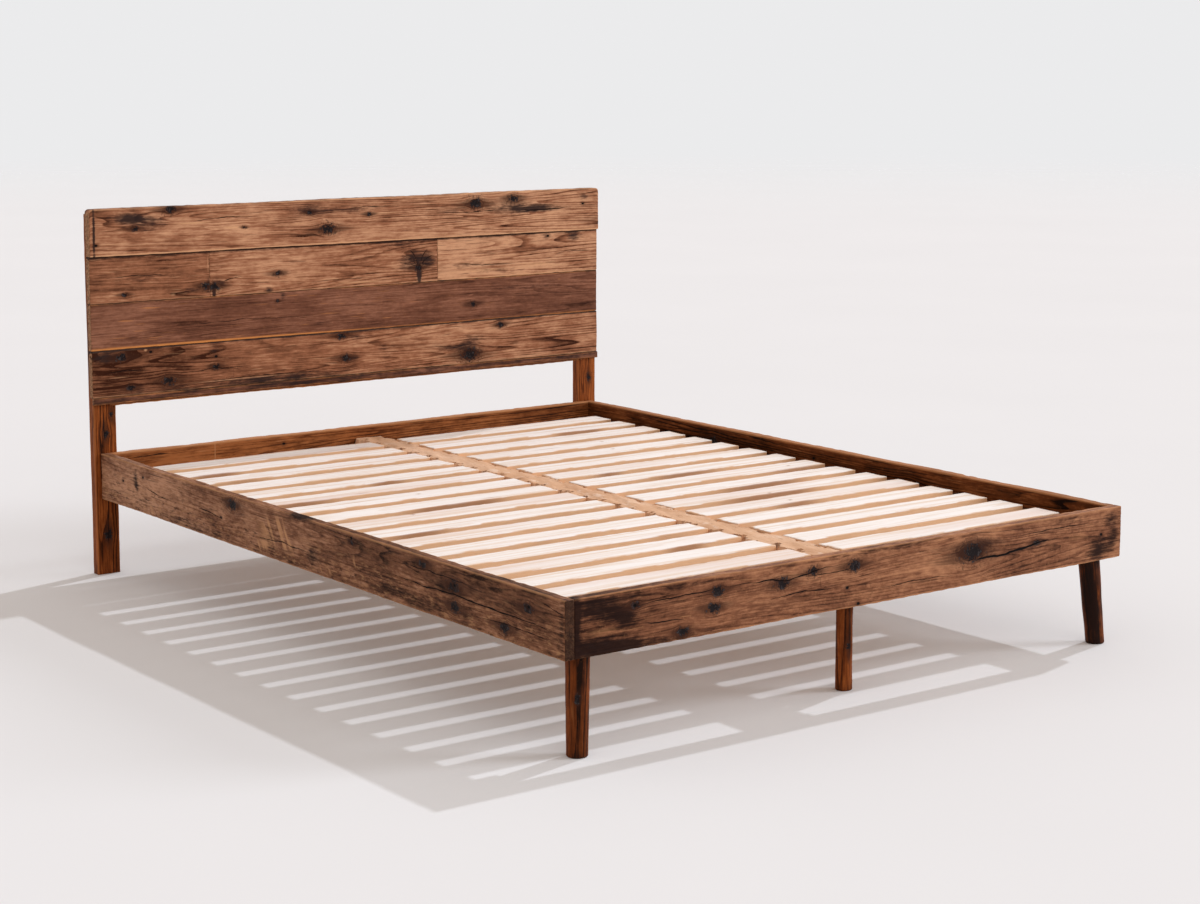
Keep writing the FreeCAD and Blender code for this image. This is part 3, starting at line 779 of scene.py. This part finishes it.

# %% [markdown]
# ## The rails
# The side rail on the left shows its weathered outer face, the foot rail its charred left end and long
# splits. Of the other two rails the inner faces show, smoother and darkened by painted shade. All four
# could share one finish, but each came off another floor or barn, and the light finds the difference.

# %% Marks of the outer faces
left_marks = {
    "knots": [(738, 99, 11), (1713, 77, 11), (1717, 35, 9), (1984, 83, 8), (1902, 27, 9), (1593, 104, 7),
              (1300, 100, 4)],
    "nails": [(131, 68), (677, 58), (1298, 111), (1985, 86), (250, 94), (1716, 80)],
    "splits": [(1.6, [(1400, 62), (1580, 57), (1720, 61), (1820, 57), (2000, 55), (2107, 50)])],
    "fine_splits": [(1, [(240, 75), (320, 62), (420, 56)]), (1.1, [(550, 66), (620, 60), (690, 58)]),
                    (1, [(850, 40), (1000, 48), (1120, 42)]), (1, [(1450, 90), (1620, 94), (1800, 90)]),
                    (0.9, [(1800, 30), (1920, 36), (2080, 30)]),
                    (1, [(2030, 104), (2070, 98), (2107, 92)])],
    "stains": [(208, 90, 14, 20, 0.9), (215, 60, 12, 20, 0.6), (230, 30, 50, 14, 0.5),
               (1065, 124, 50, 12, 1.3), (1124, 41, 30, 22, 0.8), (720, 100, 50, 14, 0.4),
               (500, 12, 160, 14, 0.5), (930, 50, 30, 30, 0.35), (1550, 20, 250, 16, 0.5),
               (1300, 106, 30, 8, 0.5), (2100, 60, 12, 80, 0.7), (1750, 70, 200, 12, 0.35)],
    "bare": [(980, 68, 90, 35, 1.2), (300, 20, 100, 20, 0.5), (1320, 63, 15, 15, 1),
             (883, 24, 30, 12, 0.8), (1179, 16, 30, 10, 0.8)],
    # The rail is lighter towards the head and darker towards the foot.
    "tone": [(100, 60, 600, 300, -0.15), (1950, 60, 700, 300, 0.16), (1000, 30, 250, 50, 0.05)],
}
foot_marks = {
    "knots": [(150, 89, 6), (365, 89, 8), (352, 54, 8), (271, 17, 8), (537, 80, 9), (624, 95, 7),
              (742, 92, 9), (1100, 74, 17), (1310, 71, 5)],
    "nails": [(724, 45), (756, 6), (150, 88), (1528, 62)],
    "splits": [(1.4, [(140, 84), (200, 90), (280, 91), (370, 93)]),
               (1.4, [(400, 93), (500, 92), (560, 84), (660, 98), (730, 100)]),
               (3, [(1070, 58), (1180, 55), (1260, 62), (1330, 71), (1390, 69)])],
    "fine_splits": [(1.2, [(165, 48), (220, 45), (275, 42)]), (1.4, [(500, 50), (600, 55), (700, 49)]),
                    (0.9, [(600, 86), (680, 84), (760, 88)]), (1, [(1240, 92), (1380, 96), (1500, 92)]),
                    (0.9, [(800, 30), (920, 34), (1050, 30)])],
    "stains": [(40, 14, 70, 20, 1.5), (130, 12, 60, 14, 1), (50, 88, 80, 20, 1), (125, 66, 34, 20, 1.2),
               (4, 60, 10, 80, 1.2), (300, 112, 100, 8, 0.5), (60, 110, 120, 10, 0.7),
               (250, 6, 120, 10, 0.7), (1100, 78, 50, 20, 1.2), (1160, 90, 40, 8, 0.5),
               (1520, 24, 40, 24, 1.1), (1570, 50, 20, 30, 0.8), (1420, 106, 60, 10, 0.6),
               (1560, 98, 30, 16, 0.7), (1300, 60, 60, 14, 0.35), (742, 98, 30, 12, 0.6),
               (540, 86, 25, 12, 0.65), (820, 116, 300, 6, 0.5)],
    "bare": [(70, 46, 60, 10, 0.3), (780, 24, 220, 20, 0.18), (1450, 66, 50, 15, 0.25)],
    "tone": [(900, 40, 450, 300, -0.09), (50, 60, 280, 300, 0.3), (1500, 60, 300, 300, -0.05)],
}
print("marks of the left and the foot rail:", count_marks(left_marks), count_marks(foot_marks))

# %% Rails of the bed frame
head_marks = {
    "nails": [(515, 98)],
    "bare": [(302, 100, 2, 50, 0.6), (800, 122, 2000, 4, 0.8)],
    "fine_splits": [(1.2, [(50, 105), (120, 108), (180, 106)])],
    "tone": [(400, 60, 1000, 300, -0.2)],
}
right_marks = {
    "knots": [(620, 80, 10), (1420, 60, 12)],
    "nails": [(1050, 90)],
    "fine_splits": [(0.9, [(300, 90), (600, 100), (900, 90)])],
    "bare": [(1000, 121, 2000, 4, 0.55)],
    # This tone darkens the whole right rail: painted shade of its inner face.
    "tone": [(1000, 60, 2000, 1000, 0.16)],
}
rails = [
    ("left_side_rail", "-y", "-x", grey_board, "weathered_rail", 11, left_marks),
    ("foot_rail", "+x", "-y", foot_board, "rail_boards", 12, foot_marks),
    ("head_rail", "+x", "-y", inner_board, "rail_boards", 13, head_marks),
    ("right_side_rail", "-y", "-x", inner_board, "rail_boards", 14, right_marks),
]
for node, *settings in rails:
    shaped_board(node + "_board", node, *settings)
print("rails:", len(rails))

# %% [markdown]
# ## Posts
# The posts are flat boards on end. Above the headboard's underside their face steps back to seat the
# planks. A second, thinner board could stand for that part, but a carving of the same rings gives the
# step without a joint.

# %% The two posts
plank_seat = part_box("headboard_plank_4")[0].z
plank_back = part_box("headboard_plank_4")[1].y


def seat_the_planks(u, v, w, sizes):
    """A carving that sets the face back to the planks' back, beyond the height where they seat."""
    depth = sizes[2]
    step_back = plank_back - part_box("left_post")[0].y
    return v, np.where(u > plank_seat, step_back + w * (depth - step_back) / depth, w), 0 * u


left_post_marks = {
    "knots": [(379, 33, 6), (107, 33, 8), (430, 50, 5)],
    "splits": [(1.4, [(360, 30), (400, 28), (440, 29)])],
    "fine_splits": [(1.2, [(60, 30), (110, 34), (200, 36)])],
    "tone": [(100, 30, 300, 1000, -0.12), (400, 30, 100, 1000, -0.06)],
}
right_post_marks = {"knots": [(400, 40, 6)], "tone": [(400, 30, 400, 1000, -0.08)]}
for side, seed, marks in (("left", 21, left_post_marks), ("right", 22, right_post_marks)):
    node = f"{side}_post"
    shaped_board(node + "_board", node, "+z", "-y", post_board, "post_wood", seed, marks, ease=0.0015,
                 rough=0.5, carve=seat_the_planks)
print("posts: planks seat at z", round(plank_seat, 4))

# %% [markdown]
# ## Turned legs
# The front legs lean outwards, and their tops are cut level with the rails' undersides. A lathe would
# turn them on their own axis. Level circles along a leaning line give the same leg, and its foot edge
# is rounded by a quarter circle.

# %% The three legs
LEG_FOOT_ROUND = 0.004
LEG_BODY_START = 0.007
LEG_RINGS = 110
LEG_AROUND = 72
LEG_WAVE = 0.00022
LEG_KNOT_DISH = 0.0007
FOOT_DARKENING_REACH = 0.012
CAP_SCALES = (0.3, 0.7)


def turned_leg(name, node, foot, top, foot_radius, top_radius, seed, knots, stains, tone):
    """Level circles on the line from foot to top, with a rounded foot and slightly uneven wood.

    The radius grows evenly from foot to top, less the rounding: LEG_FOOT_ROUND times 1 - the sine of
    the angle. Knots and stains are in millimetres up the leg and round it.
    """
    length = top[2] - foot[2]
    angle = np.radians(np.linspace(0, 90, 6))
    body = np.linspace(LEG_BODY_START, length, LEG_RINGS)
    height = np.concatenate([[0, 0], LEG_FOOT_ROUND * (1 - np.cos(angle)), body, [length, length]])
    share = height / length
    radius = foot_radius + (top_radius - foot_radius) * share
    rounding = LEG_FOOT_ROUND * (1 - np.sqrt(np.clip(1 - (1 - height / LEG_FOOT_ROUND) ** 2, 0, 1)))
    radius = radius - np.where(height < LEG_FOOT_ROUND, rounding, 0)
    radius[:2] *= CAP_SCALES
    radius[-2:] *= CAP_SCALES[::-1]
    turn = np.linspace(0, 2 * np.pi, LEG_AROUND, endpoint=False)
    u = np.repeat(height[:, None], LEG_AROUND, 1)
    v = np.repeat(turn[None] * top_radius, len(height), 0)
    knot, smear, _ = knot_fields(u / MM, v / MM, knots)
    lift = LEG_WAVE * waves(u, v, seed, 0.12, 2 * np.pi * top_radius / 3)
    lift -= LEG_KNOT_DISH * bell(knot / 0.8)
    centre = foot + share[:, None] * (top - foot)
    spread = (radius[:, None] + lift)[..., None] * np.stack([np.cos(turn), np.sin(turn), 0 * turn], -1)
    vertices = np.concatenate([(centre[:, None] + spread).reshape(-1, 3), [foot, top]])
    # The legs are darker towards the foot.
    stain = 0.5 * np.exp(-u / FOOT_DARKENING_REACH) + spot_field(u / MM, v / MM, stains)
    fields = {
        "grain": (u + BOARD_SHIFT * seed, radius[:, None] * np.cos(turn), radius[:, None] * np.sin(turn)),
        "marks": (knot, FAR, stain),
        "split": (FAR, 0, smear),
        "fine_split": (FAR, 0, 0 * u),
        "wear": (0, 0, 0 * u + tone),
    }
    faces = ring_faces(len(height), LEG_AROUND, False)
    return add_piece(name, vertices, faces, fields, post_board, node)


LEG_RADII = (0.022, 0.0255)
front_legs = [
    ("left", -1, 31, [(120, 105, 5)], [(140, 118, 70, 4, 0.5)], 0.14),
    ("right", 1, 32, [], [(110, 98, 160, 28, 1.3)], 0.26),
]
for side, sign, seed, knots, stains, tone in front_legs:
    node = f"front_{side}_leg"
    low, high = (np.array(corner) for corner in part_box(node))
    outer, inner = (low, high) if sign < 0 else (high, low)
    foot = np.array([outer[0] - sign * LEG_RADII[0], low[1] + LEG_RADII[0], low[2]])
    top = np.array([inner[0] + sign * LEG_RADII[1], high[1] - LEG_RADII[1], high[2]])
    turned_leg(node + "_turned", node, foot, top, *LEG_RADII, seed, knots, stains, tone)
low, high = (np.array(corner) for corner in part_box("centre_leg"))
middle = (low + high) / 2
centre_radius = (high[0] - low[0]) / 2
centre_foot, centre_top = np.array([*middle[:2], low[2]]), np.array([*middle[:2], high[2]])
turned_leg("centre_leg_turned", "centre_leg", centre_foot, centre_top, centre_radius, centre_radius, 33,
           [(100, 85, 5)], [], -0.04)
print("legs: 3, centre radius", round(centre_radius, 4))

# %% [markdown]
# ## Slats and beam
# The slats are bare pine, bleached almost white on top by the light and warm where the saw cut their
# edges. Top and edges could have two finishes, but one can tell them apart by w, the depth below the
# upper face. The beam between them is rough sawn, so its finish breaks up into torn fibres.

# %% Pale pine
PINE_KNOT = (0.09, 0.04, 0.02)


def pine_finish(name, top, line, side, flush, split_brown):
    """Bare pine: pale top with faint rings and tan streaks, warmer below the top edge, painted shade lower.
    """
    finish, shader, dye = new_finish(name, Specular_IOR_Level=0.25)
    u, v, w = dye.read("grain")
    knot, _, stain = dye.read("marks")
    edge, end, tone = dye.read("wear")
    late = dye.noise(u * 0.6, v * 14.0, w * 14.0, 1.0).late_wood(13.0)
    fibre = dye.noise(u * 14.0, v * 560.0, w * 560.0, 2.0)
    patch = dye.noise(u * 1.9, v * 8.0, w * 8.0, 2.0)
    rosy = (dye.noise(u * 0.9, v * 11.0, 4.1, 2.0) + tone).smooth(0.5, 0.72)
    streak = dye.noise(u * 1.6, v * 80.0, 8.3, 3.0).smooth(0.50, 0.66)
    ragged = dye.noise(u * 9.0, v * 20.0, 1.7, 3.0)
    frayed = (edge.smooth(0.15, 0.6) + end.smooth(0.02, 0.4)).smooth(0.0, 1.0) * ragged.smooth(0.46, 0.58)
    below = (w + 0.0008 * (fibre - 0.5)).smooth(0.0008, 0.0028)
    warm = (0.5 + 0.9 * (patch - 0.5) + 0.9 * (fibre - 0.5)).mix(times(side, 1.2), times(side, 0.8))
    # Darker towards the lower edge of the sides: painted shade.
    warm = (w.smooth(0.011, 0.017) * 0.6).mix(warm, times(side, 0.35))
    grain_lines = 0.55 * late + 0.35 * (fibre - 0.5) + 0.5 * (patch - 0.5)
    colour = coated(grain_lines.smooth(0.0, 1.3).mix(top, line), [
        (rosy, 0.7, flush),
        (streak, 0.75, line),
        (frayed, 0.85, times(side, 0.85)),
        (below, 0.95, warm),
        (stain.smooth(0.1, 0.9), 0.75, split_brown),
        (knot.smooth(2.2, 0.7), 0.6, times(side, 0.6)),
        (knot.smooth(1.0, 0.5), 0.85, PINE_KNOT),
    ])
    roughness = 0.62 + 0.2 * (fibre - 0.5)
    connect(shader, dye, colour, roughness, 0.6 * fibre - 0.4 * late, bump=0.4, distance=0.0006)
    return finish


slat_pine = pine_finish("slat_pine", top=(0.90, 0.84, 0.80), line=(0.76, 0.585, 0.455),
                        side=(0.78, 0.465, 0.255), flush=(0.79, 0.635, 0.565),
                        split_brown=(0.34, 0.150, 0.070))
print("pine finish:", len(slat_pine.node_tree.nodes), "nodes")

# %% Rough beam wood
def beam_finish(name):
    """Rough sawn wood: torn fibres, dark edges where the beam says that it is torn, and pale splinters."""
    finish, shader, dye = new_finish(name, Specular_IOR_Level=0.2)
    u, v, w = dye.read("grain")
    torn = dye.read("marks")[2]
    patch = dye.noise(u * 5.0, v * 9.0, w * 9.0, 3.0)
    fibre = dye.noise(u * 20.0, v * 380.0, w * 380.0, 3.0)
    splinter = dye.noise(u * 16.0, v * 24.0, w * 24.0, 3.0, 0.6)
    colour = (0.45 + 1.2 * (patch - 0.5) + 0.5 * (fibre - 0.5)).ramp(
        (0.0, (0.78, 0.53, 0.37)), (0.5, (0.66, 0.385, 0.225)), (1.0, (0.42, 0.195, 0.095)))
    tear = torn.smooth(0.25, 0.9) * splinter.smooth(0.38, 0.55)
    pale_splinter = (splinter.smooth(0.56, 0.7), 0.5, (0.84, 0.66, 0.52))
    colour = coated(colour, [pale_splinter, (tear, 0.7, (0.20, 0.078, 0.034))])
    height = 0.8 * fibre + 1.6 * splinter - 1.5 * tear
    connect(shader, dye, colour, 0.72 + 0.2 * (fibre - 0.5), height, bump=0.7, distance=0.0012)
    return finish


rough_beam = beam_finish("beam_wood")
print("beam finish:", len(rough_beam.node_tree.nodes), "nodes")

# %% [markdown]
# ## Rows of slats
# The slats come from one pale batch, and yet no two are alike. An array of copies would show the same
# slat sixteen times, so each is built by itself: a seeded draw gives it a streak, a split edge, now
# and then a knot, and a slight shift of colour.

# %% The slats in their two columns
slat_count = sum(name.startswith("slat_left_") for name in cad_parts)
slat_width = box_size("slat_left_01")[1] / MM
draw = np.random.default_rng(40)
for column, first_seed, flush_shift in (("left", 100, 0.0), ("right", 200, -0.07)):
    for row in range(1, slat_count + 1):
        node = f"slat_{column}_{row:02d}"
        spots = draw.uniform((50, 8), (650, slat_width - 8), (2, 2))
        streak = (*spots[1], draw.uniform(20, 120), 6, draw.uniform(0.1, 0.6))
        near_edge = slat_width * round(spots[0, 1] / slat_width)
        split_edge = (spots[0, 0], near_edge, draw.uniform(50, 160), 3, draw.uniform(0.3, 1.2))
        marks = {"knots": [(*spots[0], 3.5)] if draw.random() < 0.2 else [],
                 "stains": [streak, split_edge],
                 "tone": [(350, 30, 9000, 9000, flush_shift + draw.uniform(-0.12, 0.12))]}
        shaped_board(node + "_pine", node, "+x", "+z", slat_pine, "slat_pine", first_seed + row, marks,
                     ease=0.0018, step=0.005, rough=0.7)
print("slats:", 2 * slat_count)

# %% [markdown]
# ## The torn beam
# Between the two columns the beam rises almost to the tops of the slats. It was split and hewn rather
# than planed, so its raised middle has ragged sides, and its top lies in thin terraces with dark torn
# edges. They could be sculpted one by one, but a terrace is simply the whole part of a wave.

# %% The beam between the slats
RIB_GAP = 0.002
NOTCH_DEPTHS = (0.011, 0.006)
TOP_LAYER = 0.004
TERRACE_STEP = 0.0006
slat_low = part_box("slat_right_01")[0]
rib_half = slat_low.x - RIB_GAP
rib_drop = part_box("centre_beam")[1].z - slat_low.z


def torn_rib(u, v, w, sizes):
    """A carving: beside a ragged middle the top drops to the slats' undersides.

    The middle's half width is lessened by clipped waves, more on its first side than on its second. On
    its top w is lessened by TERRACE_STEP times the whole part of a wave, and the wood is torn where that
    wave is near a whole number, and along the notches.
    """
    length, height, depth = sizes
    side = v - height / 2
    notch = np.clip(waves(u, 0 * u, 46, 0.10, 1) + 0.5 * waves(u, 0 * u, 47, 0.03, 1), 0, 2)
    ragged = rib_half - np.where(side < 0, *NOTCH_DEPTHS) * notch
    wave = 1.5 * waves(u, v, 50, 0.13, 0.07)
    on_top = (w < TOP_LAYER) & (np.minimum(u, length - u) > TOP_LAYER)
    terrace = TERRACE_STEP * np.clip(np.floor(wave), -3, 2) * on_top
    beside = np.abs(side) > ragged
    torn = 0.6 * bell((wave - np.round(wave)) / 0.10) * on_top
    torn += 1.6 * bell((ragged - np.abs(side)) / 0.004) * np.clip(notch, 0, 1) * on_top
    return v, np.where(beside, rib_drop + w * (depth - rib_drop) / depth, w - terrace), torn * ~beside


shaped_board("centre_beam_sawn", "centre_beam", "-y", "+z", rough_beam, "beam_wood", 41, {}, step=0.004,
             rough=1.5, carve=torn_rib)
print("beam: raised middle", round(2 * rib_half, 3), "wide and", round(rib_drop, 3), "high")

# %% [markdown]
# ## What hides below
# Ledgers, blocks, battens, dowels and steel stay as the frame has them, because their shapes are right.
# They carry no attributes, so their finishes read Object coordinates, which every untouched node has.

# %% Finishes for the hidden pieces
def plain_wood_finish(name, light, dark, along):
    """Sawn wood by Object coordinates, with its grain along one axis: 0, 1 or 2."""
    finish, shader, dye = new_finish(name, Specular_IOR_Level=0.25)
    point = dye.place()
    stretch = [0.6 if axis == along else 22.0 for axis in range(3)]
    fine = [9.0 if axis == along else 420.0 for axis in range(3)]
    late = dye.noise(*[p * s for p, s in zip(point, stretch)], 1.0).late_wood(9.0)
    fibre = dye.noise(*[p * s for p, s in zip(point, fine)], 2.0)
    patch = dye.noise(*[p * 5.0 for p in point], 2.0)
    depth = 0.2 + 0.5 * late + 0.5 * (fibre - 0.5) + 0.8 * (patch - 0.5)
    colour = depth.smooth(0.0, 1.0).mix(light, dark)
    roughness = 0.6 + 0.2 * (fibre - 0.5)
    connect(shader, dye, colour, roughness, 0.6 * fibre - 0.4 * late, bump=0.4, distance=0.0006)
    return finish


def steel_finish():
    """Zinc plated steel: a bright metal with cloudy spangle and fine scuffs in its gloss."""
    finish, shader, dye = new_finish("zinc_steel", Metallic=1.0)
    point = dye.place()
    cloud = dye.noise(*[p * 130.0 for p in point], 3.0)
    scuff = dye.noise(point[0] * 900.0, point[1] * 60.0, point[2] * 900.0, 2.0)
    colour = cloud.smooth(0.3, 0.7).mix((0.42, 0.43, 0.45), (0.62, 0.62, 0.63))
    connect(shader, dye, colour, 0.3 + 0.25 * scuff, cloud, bump=0.15, distance=0.0004)
    return finish


# The ledgers' dark colour is partly their stain, partly painted shade in the gaps at the slat ends.
ledger_wood = plain_wood_finish("ledger_wood", (0.17, 0.065, 0.027), (0.065, 0.024, 0.011), 1)
batten_wood = plain_wood_finish("batten_wood", (0.24, 0.105, 0.050), (0.090, 0.036, 0.018), 2)
block_wood = plain_wood_finish("block_wood", (0.34, 0.19, 0.095), (0.17, 0.085, 0.042), 0)
dowel_wood = plain_wood_finish("dowel_wood", (0.62, 0.44, 0.27), (0.44, 0.28, 0.15), 2)
steel = steel_finish()
hidden_finishes = {
    "left_ledger": ledger_wood, "right_ledger": ledger_wood, "corner_blocks": block_wood,
    "headboard_battens": batten_wood, "slat_dowels": dowel_wood, "beam_hangers": steel, "bed_bolts": steel,
    "barrel_nuts": steel, "leg_bolts": steel, "wood_screws": steel,
}
for node, finish in hidden_finishes.items():
    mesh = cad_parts[node].data
    mesh.materials.clear()
    mesh.materials.append(finish)
print("hidden pieces:", len(hidden_finishes))

# %% [markdown]
# ## Studio
# A wide pale floor fades into the background. A narrow sun from the right draws the shadows of the
# slats, a wide one beside it lights the faces, and a weak one fills the front. Area lamps could do it,
# but they would burn the floor near them, which shows from behind. The sky that the camera sees is set
# apart from the one that lights the bed, so that the background can be pale on its own.

# %% The floor
FLOOR_REACH = 40.0
# Squares of the distances where the floor is gone and where it is whole.
FLOOR_GONE, FLOOR_WHOLE = 700.0, 80.0
floor_corners = FLOOR_REACH * np.array([(-1, -1, 0), (1, -1, 0), (1, 1, 0), (-1, 1, 0)])
floor_mesh = bpy.data.meshes.new("floor")
floor_mesh.from_pydata(floor_corners.tolist(), [], [(0, 1, 2, 3)])
floor = bpy.data.objects.new("floor", floor_mesh)
bpy.context.scene.collection.objects.link(floor)
floor_finish, floor_shader, floor_dye = new_finish("pale_floor", Specular_IOR_Level=0.04)
floor_point = floor_dye.place()
floor_cloud = floor_dye.noise(*[p * 0.8 for p in floor_point], 3.0)
floor_colour = floor_cloud.mix((0.755, 0.75, 0.755), (0.785, 0.78, 0.785))
floor_roughness = 0.75 + 0.1 * floor_cloud
connect(floor_shader, floor_dye, floor_colour, floor_roughness, floor_cloud, bump=0.02, distance=0.002)
squared_distance = floor_point[0] * floor_point[0] + floor_point[1] * floor_point[1]
nearness = squared_distance.smooth(FLOOR_GONE, FLOOR_WHOLE)
floor_dye.tree.links.new(nearness.socket, floor_shader.inputs["Alpha"])
floor_mesh.materials.append(floor_finish)
print("floor:", 2 * FLOOR_REACH, "m wide")

# %% The sky
world = bpy.data.worlds.new("studio")
bpy.context.scene.world = world
world.use_nodes = True
backdrop = world.node_tree.nodes["Background"]
ray = Dye(world.node_tree, None).node("ShaderNodeLightPath", {}, {}).socket.node
seen, glossy, through = [Dye(world.node_tree, ray.outputs[label]) for label in
                         ("Is Camera Ray", "Is Glossy Ray", "Is Transmission Ray")]
shown_sky = (seen + glossy + through).smooth(0.0, 1.0)
AMBIENT = 0.69
AMBIENT_COLOUR = (1.0, 0.91, 0.85)
SKY_SEEN = 0.84
SKY_SEEN_COLOUR = (0.99, 0.99, 1.0)
strength = AMBIENT + shown_sky * (SKY_SEEN - AMBIENT)
sky_colour = shown_sky.mix(AMBIENT_COLOUR, SKY_SEEN_COLOUR)
world.node_tree.links.new(strength.socket, backdrop.inputs["Strength"])
world.node_tree.links.new(sky_colour.socket, backdrop.inputs["Color"])
print("sky: lights with", AMBIENT, "and shows", SKY_SEEN)

# %% Three suns
def add_sun(name, energy, colour, width, place, target):
    """A sun so many degrees wide that shines from a place towards a target."""
    lamp = bpy.data.lights.new(name, "SUN")
    lamp.energy = energy
    lamp.color = colour
    lamp.angle = math.radians(width)
    holder = bpy.data.objects.new(name, lamp)
    bpy.context.scene.collection.objects.link(holder)
    aim = np.array(target) - np.array(place)
    tilt = math.acos(-aim[2] / np.linalg.norm(aim))
    holder.location = place
    holder.rotation_euler = (tilt, 0, math.atan2(aim[0], -aim[1]) + math.pi)


DAYLIGHT = (0.945, 1.005, 1.085)
FILL_LIGHT = (1.0, 0.98, 0.96)
suns = [
    ("narrow_sun", 1.2, DAYLIGHT, 1.4, (4.4, 1.2, 3.9), (0, 0, 0)),
    ("wide_sun", 1.44, DAYLIGHT, 22, (15.0, -7.6, 7.0), (-0.2, 0.6, 0.5)),
    ("front_fill", 0.25, FILL_LIGHT, 40, (-2.0, -6.0, 4.0), (0, 0, 0.4)),
]
for sun in suns:
    add_sun(*sun)
print("suns:", ", ".join(sun[0] for sun in suns))

# %% The camera
CAMERA_PITCH = 8.010
CAMERA_TURN = 36.676
camera_data = bpy.data.cameras.new("camera")
camera_data.lens = 70.804
camera_data.shift_y = -0.06
camera_data.clip_end = 200
camera = bpy.data.objects.new("camera", camera_data)
camera.location = (-3.4438, -4.7208, 1.3975)
camera.rotation_euler = (math.radians(90 - CAMERA_PITCH), 0, math.radians(-CAMERA_TURN))
bpy.context.scene.collection.objects.link(camera)
bpy.context.scene.camera = camera
bpy.context.scene.view_settings.view_transform = "Standard"
print("camera at", tuple(camera.location), "lens", camera_data.lens)

# %% [markdown]
# The box of the dressed bed has to stay that of the frame.
